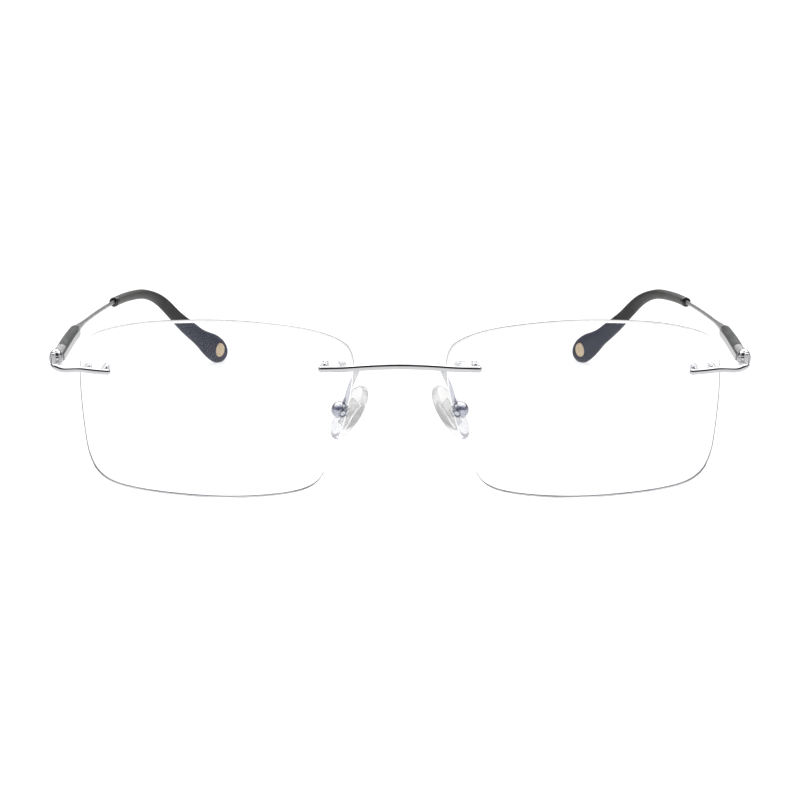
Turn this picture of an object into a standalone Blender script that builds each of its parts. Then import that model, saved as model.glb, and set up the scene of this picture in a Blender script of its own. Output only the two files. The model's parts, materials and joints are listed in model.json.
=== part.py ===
"""Rimless eyeglasses, open and standing on a table.

The pieces are drawn in the frame of the glasses, in millimetres: x to the right as seen from the
front, y backwards along the temples, z up. Its origin lies between the two lens centres. One empty,
glasses_datum, then tips the whole object back until the lenses and the temple tips touch z = 0, and
centres it on the world's origin, in metres.

Every piece is drawn for the side at -x, called left, and mirrored for the other side.
"""

import math

import bmesh
import bpy
from mathutils import Matrix, Vector

MM = 0.001

# Lenses: 55 wide and 18 apart, plain, on a shallow curve.
LENS_CENTRE_X = 36.75
LENS_CENTRE_Y = -1.0
LENS_CURVE_RADIUS = 130.0
LENS_THICKNESS = 2.0
LENS_WRAP = math.radians(5.0)
PANTOSCOPIC_TILT = math.radians(8.1)
LENS_RINGS = 3
LENS_STEPS = 3
# Outward and upward from the lens centre, clockwise from the top.
LENS_OUTLINE = (
    (1.0, 17.9), (12.8, 17.1), (21.5, 15.2), (25.6, 13.0), (27.3, 8.8), (27.5, 3.0),
    (27.0, -5.0), (26.2, -11.0), (24.2, -15.0), (20.0, -17.25), (11.0, -18.4), (-2.0, -18.8),
    (-13.0, -17.95), (-18.8, -16.2), (-21.7, -12.7), (-24.4, -6.3), (-26.3, 0.5), (-27.3, 7.0),
    (-26.85, 11.35), (-24.5, 13.9), (-18.6, 16.1), (-9.0, 17.5),
)

# Wires and the pins that hold them to the lenses.
WIRE_RADIUS = 0.66
ENDPIECE_RADIUS = 0.6
WIRE_STAND_OFF = 0.3
BRIDGE_HOLES = (-24.9, -21.6)
BRIDGE_HOLE_HEIGHT = 8.85
BRIDGE_OVERHANG = 1.05
BRIDGE_SHOULDER = (-5.2, -3.3, 9.05)
BRIDGE_CENTRE = (0.0, -3.75, 9.27)
ENDPIECE_HOLES = (22.0, 25.7)
ENDPIECE_HOLE_HEIGHT = 7.15
LENS_HOLE_RADIUS = 0.80
PLUG_RADIUS = 0.73
PLUG_GAP = 0.12
PLUG_BORE_RADIUS = 0.46
PLUG_BAR = (1.15, 0.45)
PLUG_HEAD = (0.66, 0.16)
PIN_RADIUS = 0.39
# A pin's radius at shares of its length: straight, a shallow groove, and a narrower end.
PIN_PROFILE = ((1.0, 0.6), (0.8, 0.68), (1.0, 0.85), (0.7, 1.0))
PLUG_MOUTH = 0.15
BRIDGE_LEAVES_LENS = 1.0
ENDPIECE_OVERHANG = 0.7
ENDPIECE_LEAVES_LENS = (1.4, 0.05)

# Temple hinge: three knuckles on one upright screw. The offsets are from the hinge's centre.
HINGE = Vector((-68.9, 7.0, 9.15))
ENDPIECE_ELBOW = ((1.9, -3.1, -1.8), (0.3, -2.75, -1.35), (-0.4, -1.9, -0.95))
WEB = (-0.3, -2.1, 0.0)
WEB_RADIUS = 0.55
ARM_LOW = (-0.75, -2.0)
ARM_HIGH = (0.2, -0.3)
NECK = ((-0.6, 0.3, -0.5), (0.8, 2.05, 0.5))
STRIP_ROOT = ((0.4, 1.3, -0.5), (1.15, 2.1, 0.5))
EDGE = 0.25
KNUCKLE_RADIUS = 1.4
KNUCKLE_BORE = 0.57
KNUCKLE_GAP = 0.1
MIDDLE_KNUCKLE = 0.55
HINGE_HALF_HEIGHT = 1.5
SCREW_RADIUS = 0.5
SCREW_HEAD = (1.0, 0.3)

# Temple: path of the centre line from the hinge to the tip.
TEMPLE_PATH = (
    (-68.9, 7.0, 9.1), (-69.4, 20.0, 9.1), (-69.9, 35.0, 9.1), (-69.9, 49.0, 9.2),
    (-69.2, 62.0, 9.3), (-67.9, 77.0, 9.4), (-66.2, 89.5, 9.5), (-63.8, 98.0, 9.65),
    (-60.9, 105.0, 9.15), (-57.8, 112.0, 6.55), (-53.7, 120.0, 0.5), (-49.1, 126.5, -4.95),
    (-44.0, 133.8, -10.3),
)
BARREL_RADIUS = 1.2
BARREL_FLAT = 1.0
BARREL_BORE = 0.52
COLLAR_SPAN = (9.2, 18.6)
SLEEVE_SPAN = (18.75, 45.4)
STRIP_SPAN = (8.5, 42.5)
STRIP_THICKNESS = 0.5
STRIP_HALF_HEIGHT = 0.75
STRIP_EASE = (0.12, 0.3)
STRIP_END = 0.55
SLEEVE_END = 0.84
CORE_RADIUS = 0.45
ROD_RADIUS = 0.43
ROD_INSET = 0.6
CONE_SPAN = (45.6, 60.0)
CONE_RADIUS = 0.85
RING_SPAN = (88.2, 89.9)
RING_RADIUS = 1.12
TIP_START = 90.0
TIP_BORE = 0.5
TIP_BORE_END = 123.0
TIP_SIDES = 14
# Share of the tip's length, half thickness and half height.
TIP_PROFILE = (
    (0.0, 1.08, 1.08), (0.3, 1.08, 1.15), (0.55, 1.12, 1.65), (0.76, 1.25, 2.1), (0.91, 1.45, 3.2),
    (1.0, 1.45, 3.2),
)
# Where along the tip its height and its thickness start to round off.
TIP_END_START = (0.925, 0.968)
INLAY_RADIUS = 1.7
INLAY_DEPTH = 0.45
INLAY_FROM_END = 4.0
INLAY_FACE = 1.42

# Nose pads: a box at the end of each arm, a screw through it and a pad that rocks on the screw.
PAD_BOX = Vector((-12.15, 6.4, -1.03))
PAD_SCREW_AXIS = Vector((0.45, -0.83, -0.34))
PAD_OUTWARD = Vector((0.725, 0.55, -0.425))
PAD_BOX_RADIUS = 1.7
PAD_ARM_RADIUS = 0.54
PAD_ARM_ROOT_X = -7.6
PAD_ARM_PATH = ((-7.8, 0.0, 8.8), (-8.2, 2.6, 8.1), (-8.9, 4.7, 6.2), (-10.1, 5.8, 3.4))
PAD_SLOT_HALF = 0.6
PAD_LUG_HALF = (0.5, 0.75)
PAD_PIN = 0.36
PAD_PIN_BORE = 0.42
PAD_HALF = (3.3, 6.15)
PAD_SHIFT = 0.7
PAD_BACK = 2.2
PAD_THICKNESS = 2.2
PAD_PLATE = (1.4, 2.8, 0.5)
PAD_PLATE_DEPTH = 0.35
PAD_SECTIONS = (
    # Share of the pad's thickness and of its half size there, from its back to its face.
    (0.0, 0.80), (0.12, 0.93), (0.35, 1.0), (0.62, 0.97), (0.85, 0.85), (1.0, 0.6),
)
PAD_BOX_POLE = 68
PAD_SLOT = ((-1.15, -0.9), (1.15, 3.0))
PAD_SCREW_SEAT = (0.74, 1.12)
PAD_SCREW_HEAD = (0.66, 0.4)
PAD_SCREW_SPAN = (-1.4, 1.2)
LUG_ROOT = 2.6

FIT = 0.07
ROUND_SIDES = 16
TABLE_CUT = 0.12
# Rounded ends of the wires: how far each step stands out, and its share of the radius.
NOSE_STEPS = ((0.55, 0.85), (0.9, 0.45))
# Screws: how far the free end is bevelled, and the crown of the head.
SCREW_BEVEL = (0.75, 0.2)
SCREW_CROWN = (0.7, 0.4)
# Shares of the tip's last stretch at which it is drawn.
TIP_END_STEPS = (0.3, 0.5, 0.66, 0.8, 0.91, 1.0)

COLOURS = {
    "lens": ((0.93, 0.96, 0.97), 0.03, 0.0),
    "silver": ((0.80, 0.80, 0.82), 0.15, 1.0),
    "clear": ((0.90, 0.91, 0.92), 0.2, 0.0),
    "silicone": ((0.86, 0.88, 0.88), 0.35, 0.0),
    "grey": ((0.20, 0.20, 0.20), 0.35, 0.0),
    "black": ((0.03, 0.03, 0.03), 0.2, 0.0),
    "tip": ((0.06, 0.06, 0.09), 0.25, 0.0),
    "beige": ((0.70, 0.58, 0.38), 0.35, 0.0),
}
MATERIALS = {}


# ---------------------------------------------------------------- scene and materials

def clear_scene():
    for obj in list(bpy.data.objects):
        bpy.data.objects.remove(obj)


def material(name):
    made = bpy.data.materials.new(name)
    made.use_nodes = True
    colour, roughness, metallic = COLOURS[name]
    shader = made.node_tree.nodes["Principled BSDF"]
    shader.inputs["Base Color"].default_value = (*colour, 1.0)
    shader.inputs["Roughness"].default_value = roughness
    shader.inputs["Metallic"].default_value = metallic
    made.diffuse_color = (*colour, 1.0)
    return made


def empty(name, place, parent=None):
    made = bpy.data.objects.new(name, None)
    made.empty_display_size = 3 * MM
    made.location = place * MM
    made.parent = parent
    bpy.context.collection.objects.link(made)
    return made


class Side:
    """One side of the glasses: names its pieces and mirrors them when they belong at +x."""

    def __init__(self, name, mirrored, datum):
        self.name = name
        self.flip = Matrix.Scale(-1, 4, (1, 0, 0)) if mirrored else Matrix.Identity(4)
        self.datum = datum
        self.anchors = {None: (datum, Vector())}

    def anchor(self, joint, place):
        place = self.flip @ place
        self.anchors[joint] = (empty(f"{self.name}_{joint}_joint", place, self.datum), place)

    def piece(self, name, mesh, colour, joint=None, smooth=40.0):
        parent, place = self.anchors[joint]
        data = finish_mesh(mesh, self.flip, place, smooth)
        data.materials.append(MATERIALS[colour])
        made = bpy.data.objects.new(f"{self.name}_{name}" if self.name else name, data)
        made.parent = parent
        bpy.context.collection.objects.link(made)
        return made

    def boolean(self, target, operation, name, mesh, joint=None):
        parent, place = self.anchors[joint]
        data = finish_mesh(mesh, self.flip, place, 40.0)
        tool = bpy.data.objects.new(f"{target.name}_{name}", data)
        tool.parent = parent
        tool.hide_render = True
        tool.display_type = "WIRE"
        bpy.context.collection.objects.link(tool)
        modifier = target.modifiers.new(name, "BOOLEAN")
        modifier.operation = operation
        modifier.object = tool
        modifier.solver = "EXACT"


def finish_mesh(mesh, flip, place, smooth):
    """Closes the drawing: mirrors it, moves it to its joint, scales it to metres and shades it."""
    bmesh.ops.transform(
        mesh, matrix=Matrix.Scale(MM, 4) @ Matrix.Translation(-place) @ flip, verts=mesh.verts
    )
    bmesh.ops.recalc_face_normals(mesh, faces=mesh.faces)
    data = bpy.data.meshes.new("shape")
    mesh.to_mesh(data)
    mesh.free()
    data.shade_smooth()
    data.set_sharp_from_angle(angle=math.radians(smooth))
    return data


# ---------------------------------------------------------------- curves and simple solids

def spline(points, steps, closed=False):
    """A smooth curve through the points, with so many steps from one to the next."""
    points = [Vector(point) for point in points]
    count = len(points)
    if not closed:
        points = [2 * points[0] - points[1], *points, 2 * points[-1] - points[-2]]
    curve = []
    for i in range(count if closed else count - 1):
        if closed:
            before, start, end, after = (points[(i + k) % count] for k in (-1, 0, 1, 2))
        else:
            before, start, end, after = points[i:i + 4]
        for step in range(steps):
            t = step / steps
            curve.append(
                0.5 * (
                    2 * start
                    + (end - before) * t
                    + (2 * before - 5 * start + 4 * end - after) * t ** 2
                    + (3 * (start - end) + after - before) * t ** 3
                )
            )
    if not closed:
        curve.append(points[-2].copy())
    return curve


def crossing(path, axis, value):
    """The point where a path that runs forward along an axis reaches a value of it."""
    for near, far in zip(path, path[1:]):
        if far[axis] >= value:
            return near.lerp(far, (value - near[axis]) / (far[axis] - near[axis]))
    return path[-1].copy()


def directions(path):
    last = len(path) - 1
    return [(path[min(i + 1, last)] - path[max(i - 1, 0)]).normalized() for i in range(last + 1)]


def rings_along(path, sections, up):
    """Places each section (sideways, upward) across the path at its own point."""
    rings = []
    for point, along, section in zip(path, directions(path), sections):
        sideways = along.cross(up).normalized()
        raised = sideways.cross(along)
        rings.append([point + sideways * u + raised * v for u, v in section])
    return rings


def skin(mesh, rings, cap_start=True, cap_end=True):
    """Joins rings of equal length into a closed tube."""
    loops = [[mesh.verts.new(point) for point in ring] for ring in rings]
    for near, far in zip(loops, loops[1:]):
        for i in range(len(near)):
            j = (i + 1) % len(near)
            mesh.faces.new((near[i], near[j], far[j], far[i]))
    if cap_start:
        mesh.faces.new(loops[0][::-1])
    if cap_end:
        mesh.faces.new(loops[-1])
    return loops


def ring_face(mesh, outer, inner):
    """Closes the end of a hollow tube between its outer and inner loop."""
    for i in range(len(outer)):
        j = (i + 1) % len(outer)
        mesh.faces.new((outer[i], outer[j], inner[j], inner[i]))


def circle(radius, sides=ROUND_SIDES):
    turn = 2 * math.pi / sides
    return [(radius * math.cos(turn * i), radius * math.sin(turn * i)) for i in range(sides)]


def solid_along(path, sections, up=Vector((0, 0, 1))):
    mesh = bmesh.new()
    skin(mesh, rings_along(path, sections, up))
    return mesh


def hollow_along(path, outer, inner, up=Vector((0, 0, 1)), inner_path=None):
    """A tube. With a shorter inner_path the bore is blind."""
    mesh = bmesh.new()
    blind = inner_path is not None
    outside = skin(mesh, rings_along(path, outer, up), False, blind)
    inside = skin(mesh, rings_along(inner_path or path, inner, up), False, blind)
    ring_face(mesh, outside[0], inside[0])
    if not blind:
        ring_face(mesh, outside[-1], inside[-1])
    return mesh


def placed(origin, x_axis, y_axis, z_axis):
    return Matrix.Translation(origin) @ Matrix((x_axis, y_axis, z_axis)).transposed().to_4x4()


def turned(profile, frame, sides=ROUND_SIDES, bored=False):
    """Turns a profile of (radius, height) about the frame's z. A bored profile closes on itself."""
    mesh = bmesh.new()
    rings = [
        [frame @ Vector((x, y, height)) for x, y in circle(radius, sides)]
        for radius, height in profile
    ]
    if not bored:
        skin(mesh, rings)
        return mesh
    loops = skin(mesh, rings, False, False)
    ring_face(mesh, loops[-1], loops[0])
    return mesh


def cylinder(frame, radius, low, high, sides=ROUND_SIDES):
    return turned(((radius, low), (radius, high)), frame, sides)


def block(frame, low, high):
    mesh = bmesh.new()
    bmesh.ops.create_cube(mesh, size=1.0)
    size = Vector(high) - Vector(low)
    middle = (Vector(high) + Vector(low)) / 2
    fit = frame @ Matrix.Translation(middle) @ Matrix.Diagonal((*size, 1.0))
    bmesh.ops.transform(mesh, matrix=fit, verts=mesh.verts)
    return mesh


def prism(frame, outline, low, high):
    mesh = bmesh.new()
    skin(mesh, [[frame @ Vector((x, y, height)) for x, y in outline] for height in (low, high)])
    return mesh


# ---------------------------------------------------------------- lens

FRONT_UP = Vector((0, -math.sin(PANTOSCOPIC_TILT), math.cos(PANTOSCOPIC_TILT)))
FRONT_BACK = Vector((0, math.cos(PANTOSCOPIC_TILT), math.sin(PANTOSCOPIC_TILT)))
LENS_OUT = Vector((-1, 0, 0)) * math.cos(LENS_WRAP) + FRONT_BACK * math.sin(LENS_WRAP)
LENS_BACK = FRONT_BACK * math.cos(LENS_WRAP) + Vector((1, 0, 0)) * math.sin(LENS_WRAP)
LENS_CENTRE = Vector((-LENS_CENTRE_X, 0, 0)) + FRONT_BACK * LENS_CENTRE_Y


def lens_point(out, up, depth=0.0):
    """A point over the lens: outward, upward, and behind its front surface."""
    sag = LENS_CURVE_RADIUS - math.sqrt(LENS_CURVE_RADIUS ** 2 - out ** 2 - up ** 2)
    return LENS_CENTRE + LENS_OUT * out + FRONT_UP * up + LENS_BACK * (sag + depth)


def hole_frames(holes, height):
    """Where a pair of pins goes through the lens: z is backwards, along the lens's own axis."""
    up = LENS_BACK.cross(LENS_OUT)
    return [placed(lens_point(out, height), LENS_OUT, up, LENS_BACK) for out in holes]


def seat_depths(frames):
    """How far behind each frame a plug's bar rests, clear of the lens at both holes."""
    depths = [frame.translation.dot(LENS_BACK) for frame in frames]
    return [max(depths) - depth + LENS_THICKNESS + PLUG_GAP for depth in depths]


def lens_outline():
    return [(p.x, p.y) for p in spline([(*xy, 0) for xy in LENS_OUTLINE], LENS_STEPS, True)]


def lens_mesh():
    mesh = bmesh.new()
    outline = lens_outline()
    rims = []
    for depth in (0.0, LENS_THICKNESS):
        middle = mesh.verts.new(lens_point(0, 0, depth))
        inner = None
        for ring in range(1, LENS_RINGS + 1):
            reach = ring / LENS_RINGS
            loop = [mesh.verts.new(lens_point(x * reach, y * reach, depth)) for x, y in outline]
            for i in range(len(loop)):
                j = (i + 1) % len(loop)
                if inner:
                    mesh.faces.new((inner[i], inner[j], loop[j], loop[i]))
                else:
                    mesh.faces.new((middle, loop[j], loop[i]))
            inner = loop
        rims.append(inner)
    ring_face(mesh, rims[0], rims[1])
    return mesh


def make_lens(side):
    lens = side.piece("lens", lens_mesh(), "lens")
    pairs = ((BRIDGE_HOLES, BRIDGE_HOLE_HEIGHT), (ENDPIECE_HOLES, ENDPIECE_HOLE_HEIGHT))
    for pair, (holes, height) in enumerate(pairs):
        for i, frame in enumerate(hole_frames(holes, height)):
            drill = cylinder(frame, LENS_HOLE_RADIUS, -1.5, LENS_THICKNESS + 1.5)
            side.boolean(lens, "DIFFERENCE", f"hole_{pair}{i}", drill)
    return lens


# ---------------------------------------------------------------- bridge, endpieces and plugs

def pin_mesh(frame, seat):
    """A pin from inside the wire, through lens and plug, with a shallow groove near its end."""
    end = seat + PLUG_BAR[1]
    profile = [(PIN_RADIUS, -WIRE_STAND_OFF - WIRE_RADIUS)]
    profile += [(PIN_RADIUS * wide, end * share) for wide, share in PIN_PROFILE]
    return turned(profile, frame, 8)


def plug_bar(frames, seat):
    """The bar behind the lens that carries both tubes of a plug."""
    width, depth = PLUG_BAR
    first, second = frames
    reach = (second.translation - first.translation).dot(LENS_OUT)
    outline = []
    for centre, low in ((reach, -90), (0, 90)):
        for i in range(7):
            angle = math.radians(low + 30 * i)
            outline.append((centre + width / 2 * math.cos(angle), width / 2 * math.sin(angle)))
    return prism(first, outline, seat, seat + depth)


def make_plug(side, name, holes, height):
    frames = hole_frames(holes, height)
    seats = seat_depths(frames)
    plug = side.piece(name, plug_bar(frames, seats[0]), "clear")
    for i, (frame, seat) in enumerate(zip(frames, seats)):
        back = seat + PLUG_BAR[1]
        head_radius, head_height = PLUG_HEAD
        profile = (
            (PLUG_RADIUS, PLUG_MOUTH), (PLUG_RADIUS, back), (head_radius * 0.8, back + head_height),
        )
        tube = turned(profile, frame, 10)
        side.boolean(plug, "UNION", f"tube_{i}", tube)
    for i, frame in enumerate(frames):
        side.boolean(plug, "DIFFERENCE", f"bore_{i}", cylinder(frame, PLUG_BORE_RADIUS, -1, 6, 8))


def tapered_ends(path, radius, sides=10, start=True, end=True):
    """Round sections that close to a rounded nose at each free end."""
    sections = [circle(radius, sides) for _ in path]
    (_, wide), (_, narrow) = NOSE_STEPS
    if start:
        sections[:2] = [circle(radius * narrow, sides), circle(radius * wide, sides)]
    if end:
        sections[-2:] = [circle(radius * wide, sides), circle(radius * narrow, sides)]
    return sections


def with_nose(path, radius, start=True, end=True):
    """Adds the short steps that a rounded nose needs at the ends of a path."""
    path = list(path)
    (near, _), (far, _) = NOSE_STEPS
    if start:
        out = (path[0] - path[1]).normalized() * radius
        path = [path[0] + out * far, path[0] + out * near, *path]
    if end:
        out = (path[-1] - path[-2]).normalized() * radius
        path = [*path, path[-1] + out * near, path[-1] + out * far]
    return path


def bridge_path():
    depth = -(WIRE_STAND_OFF + WIRE_RADIUS)
    inner, outer = BRIDGE_HOLES
    left = [
        lens_point(outer + BRIDGE_OVERHANG - WIRE_RADIUS, BRIDGE_HOLE_HEIGHT, depth),
        lens_point((inner + outer) / 2, BRIDGE_HOLE_HEIGHT, depth),
        lens_point(inner - BRIDGE_LEAVES_LENS, BRIDGE_HOLE_HEIGHT, depth),
        Vector(BRIDGE_SHOULDER),
    ]
    right = [Vector((-p.x, p.y, p.z)) for p in reversed(left)]
    return spline([*left, BRIDGE_CENTRE, *right], 3)


def make_bridge(sides):
    middle = Side("", False, sides[0].datum)
    path = with_nose(bridge_path(), WIRE_RADIUS)
    bridge = middle.piece("bridge", solid_along(path, tapered_ends(path, WIRE_RADIUS)), "silver")
    for side in sides:
        frames = hole_frames(BRIDGE_HOLES, BRIDGE_HOLE_HEIGHT)
        for i, (frame, seat) in enumerate(zip(frames, seat_depths(frames))):
            side.boolean(bridge, "UNION", f"{side.name}_pin_{i}", pin_mesh(frame, seat))


def eased(radius, low, high):
    """A turned profile with its two edges cut off."""
    return (
        (radius - EDGE, low), (radius, low + EDGE), (radius, high - EDGE), (radius - EDGE, high),
    )


def endpiece_path():
    depth = -(WIRE_STAND_OFF + ENDPIECE_RADIUS)
    inner, outer = ENDPIECE_HOLES
    leave_out, leave_up = ENDPIECE_LEAVES_LENS
    height = ENDPIECE_HOLE_HEIGHT
    return spline(
        (
            lens_point(inner - ENDPIECE_OVERHANG, height, depth),
            lens_point((inner + outer) / 2, height, depth),
            lens_point(outer + leave_out, height + leave_up, depth),
            *(HINGE + Vector(offset) for offset in ENDPIECE_ELBOW),
        ),
        3,
    )


def make_endpiece(side):
    path = with_nose(endpiece_path(), ENDPIECE_RADIUS, end=False)
    sections = tapered_ends(path, ENDPIECE_RADIUS, end=False)
    endpiece = side.piece("endpiece", solid_along(path, sections), "silver")
    frames = hole_frames(ENDPIECE_HOLES, ENDPIECE_HOLE_HEIGHT)
    for i, (frame, seat) in enumerate(zip(frames, seat_depths(frames))):
        side.boolean(endpiece, "UNION", f"pin_{i}", pin_mesh(frame, seat))
    upright = Matrix.Translation(HINGE)
    height = HINGE_HALF_HEIGHT
    reach = height - EDGE / 2
    web = turned(eased(WEB_RADIUS, -reach, reach), Matrix.Translation(HINGE + Vector(WEB)), 12)
    side.boolean(endpiece, "UNION", "web", web)
    gap = MIDDLE_KNUCKLE + KNUCKLE_GAP
    for name, low, high in (("lower", -height, -gap), ("upper", gap, height)):
        arm = block(upright, (*ARM_LOW, low + EDGE / 2), (*ARM_HIGH, high - EDGE / 2))
        side.boolean(endpiece, "UNION", f"{name}_arm", arm)
        knuckle = turned(eased(KNUCKLE_RADIUS, low, high), upright)
        side.boolean(endpiece, "UNION", f"{name}_knuckle", knuckle)
    bore = cylinder(upright, KNUCKLE_BORE, -height - 1, height + 1)
    side.boolean(endpiece, "DIFFERENCE", "bore", bore)


def slotted_screw(side, name, frame, shank, head, low, high, slot):
    """A screw along the frame's z: its head sits on `high` and has a driver slot."""
    head_radius, head_height = head
    end_share, bevel = SCREW_BEVEL
    crown, rim = SCREW_CROWN
    profile = [
        (shank * end_share, low), (shank, low + bevel), (shank, high), (head_radius, high),
        (head_radius, high + head_height * rim), (head_radius * crown, high + head_height),
    ]
    screw = side.piece(name, turned(profile, frame), "silver")
    top = high + head_height
    cutter = block(frame, (-slot / 2, -2, top - head_height * 0.5), (slot / 2, 2, top + 1))
    side.boolean(screw, "DIFFERENCE", "slot", cutter)


def make_hinge_screw(side):
    frame = Matrix.Translation(HINGE)
    high = HINGE_HALF_HEIGHT + FIT
    slotted_screw(
        side, "hinge_screw", frame, SCREW_RADIUS, SCREW_HEAD, -HINGE_HALF_HEIGHT + 0.1, high, 0.25
    )


# ---------------------------------------------------------------- temple

def temple_curve(start, end, steps=8):
    """The stretch of the temple's centre line between two distances behind the lenses."""
    curve = spline(TEMPLE_PATH, steps)
    inside = [p for p in curve if start + 0.3 < p.y < end - 0.3]
    return [crossing(curve, 1, start), *inside, crossing(curve, 1, end)]


def flat_sided(radius, flat, sides=ROUND_SIDES):
    """A circle with a flat on the side that faces the head."""
    return [(min(x, flat), y) for x, y in circle(radius, sides)]


def make_hinge_leaf(side):
    """The temple's knuckle, its neck, and the long strip along the inner face of the barrel."""
    path = temple_curve(*STRIP_SPAN, 3)
    inner = BARREL_FLAT + FIT
    outer = inner + STRIP_THICKNESS
    tall = STRIP_HALF_HEIGHT
    side_ease, tall_ease = STRIP_EASE
    section = [
        (inner, -tall), (outer - side_ease, -tall), (outer, tall_ease - tall),
        (outer, tall - tall_ease), (outer - side_ease, tall), (inner, tall),
    ]
    ends = [(u, v * STRIP_END) for u, v in section]
    sections = [section] * (len(path) - 1) + [ends]
    leaf = side.piece("hinge_leaf", solid_along(path, sections), "silver", "temple")
    upright = Matrix.Translation(HINGE)
    side.boolean(leaf, "UNION", "neck", block(upright, *NECK), "temple")
    side.boolean(leaf, "UNION", "root", block(upright, *STRIP_ROOT), "temple")
    knuckle = cylinder(upright, KNUCKLE_RADIUS, -MIDDLE_KNUCKLE, MIDDLE_KNUCKLE)
    side.boolean(leaf, "UNION", "knuckle", knuckle, "temple")
    bore = cylinder(upright, KNUCKLE_BORE, -3, 3)
    side.boolean(leaf, "DIFFERENCE", "bore", bore, "temple")


def make_barrel(side):
    """The silver collar and the grey sleeve, both threaded on the temple's core."""
    for name, span, colour in (
        ("temple_collar", COLLAR_SPAN, "silver"), ("temple_sleeve", SLEEVE_SPAN, "grey"),
    ):
        path = temple_curve(*span, 3)
        outer = [flat_sided(BARREL_RADIUS, BARREL_FLAT) for _ in path]
        if colour == "grey":
            path = [*path[:-1], path[-1].lerp(path[-2], 0.12), path[-1]]
            outer.append([(u * SLEEVE_END, v * SLEEVE_END) for u, v in outer[-1]])
        inner = [circle(BARREL_BORE) for _ in path]
        side.piece(name, hollow_along(path, outer, inner), colour, "temple")


def rod_radius(depth):
    """The rod is a core inside the barrel, swells to a cone behind it, and thins to the tip."""
    start, end = CONE_SPAN
    if depth < start:
        return CORE_RADIUS
    t = min((depth - start) / (end - start), 1.0)
    ease = t * t * (3 - 2 * t)
    return CONE_RADIUS + (ROD_RADIUS - CONE_RADIUS) * ease


def make_temple_rod(side):
    core = temple_curve(COLLAR_SPAN[0] + ROD_INSET, CONE_SPAN[0] - 0.05, 2)
    rest = temple_curve(CONE_SPAN[0], TIP_BORE_END - ROD_INSET, 4)
    path = [*core, *rest]
    radii = [CORE_RADIUS] * len(core) + [rod_radius(p.y) for p in rest]
    sections = [circle(radius, 10) for radius in radii]
    side.piece("temple_rod", solid_along(path, sections), "silver", "temple")


def make_tip_ring(side):
    path = temple_curve(*RING_SPAN)
    outer = [circle(RING_RADIUS) for _ in path]
    inner = [circle(TIP_BORE) for _ in path]
    side.piece("tip_ring", hollow_along(path, outer, inner), "black", "temple")


def tip_section(reach):
    """Half thickness and half height of the tip, from its mouth (0) to its end (1)."""
    for (start, thin, low), (end, thick, high) in zip(TIP_PROFILE, TIP_PROFILE[1:]):
        if reach <= end:
            break
    t = min((reach - start) / (end - start), 1.0)
    ease = t * t * (3 - 2 * t)
    tall, wide = (
        math.sqrt(1 - (max(0.0, (reach - start) / (1 - start)) * 0.97) ** 2)
        for start in TIP_END_START
    )
    return (thin + (thick - thin) * ease) * wide, (low + (high - low) * ease) * tall


def tip_shape():
    path = temple_curve(TIP_START, TEMPLE_PATH[-1][1], 3)
    tail = path.pop()
    before = path[-1]
    path += [before.lerp(tail, t) for t in TIP_END_STEPS]
    travelled = [0.0]
    for near, far in zip(path, path[1:]):
        travelled.append(travelled[-1] + (far - near).length)
    sizes = [tip_section(way / travelled[-1]) for way in travelled]
    sections = [[(u * thick, v * tall) for u, v in circle(1.0, TIP_SIDES)] for thick, tall in sizes]
    return path, sections


def inlay_frame():
    """On the inner face of the tip, near its end: z points out of the face, y along the tip."""
    path, _ = tip_shape()
    along = (path[-1] - path[-4]).normalized()
    inward = along.cross(Vector((0, 0, 1))).normalized()
    centre = path[-1] - along * INLAY_FROM_END
    return placed(centre + inward * INLAY_FACE, along.cross(inward), along, inward)


def inlay_outline(grow=0.0):
    return circle(INLAY_RADIUS + grow, 20)


def make_temple_tip(side):
    path, sections = tip_shape()
    bore_path = temple_curve(TIP_START, TIP_BORE_END, 3)
    bore = [circle(TIP_BORE, TIP_SIDES) for _ in bore_path]
    mesh = hollow_along(path, sections, bore, inner_path=bore_path)
    tip = side.piece("temple_tip", mesh, "tip", "temple")
    recess = prism(inlay_frame(), inlay_outline(FIT), -INLAY_DEPTH - FIT, 1.0)
    side.boolean(tip, "DIFFERENCE", "recess", recess, "temple")
    inlay = prism(inlay_frame(), inlay_outline(), -INLAY_DEPTH, 0.0)
    side.piece("tip_inlay", inlay, "beige", "temple")
    return tip


# ---------------------------------------------------------------- nose pads

def pad_frame():
    """Centred on the pad box: x runs back along the screw, y up the pad, z towards the pad."""
    back = -PAD_SCREW_AXIS.normalized()
    outward = (PAD_OUTWARD - back * PAD_OUTWARD.dot(back)).normalized()
    return placed(PAD_BOX, back, outward.cross(back), outward)


def screw_frame():
    """Centred on the pad box: z runs out of the screw's head."""
    back, along, outward = (pad_frame().col[i].to_3d() for i in range(3))
    return placed(PAD_BOX, along, -outward, -back)


def make_pad_arm(side):
    along = pad_frame().col[1].to_3d()
    end = PAD_BOX + along * (PAD_BOX_RADIUS + FIT)
    wire = crossing(bridge_path(), 0, PAD_ARM_ROOT_X)
    root = wire + Vector((0, WIRE_RADIUS + FIT, 0))
    path = spline([root, root + Vector((0, 0.9, 0.1)), *PAD_ARM_PATH, end + along, end], 3)
    sections = [circle(PAD_ARM_RADIUS, 8) for _ in path]
    side.piece("pad_arm", solid_along(path, sections, Vector((1, 0, 0))), "silver")


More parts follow.
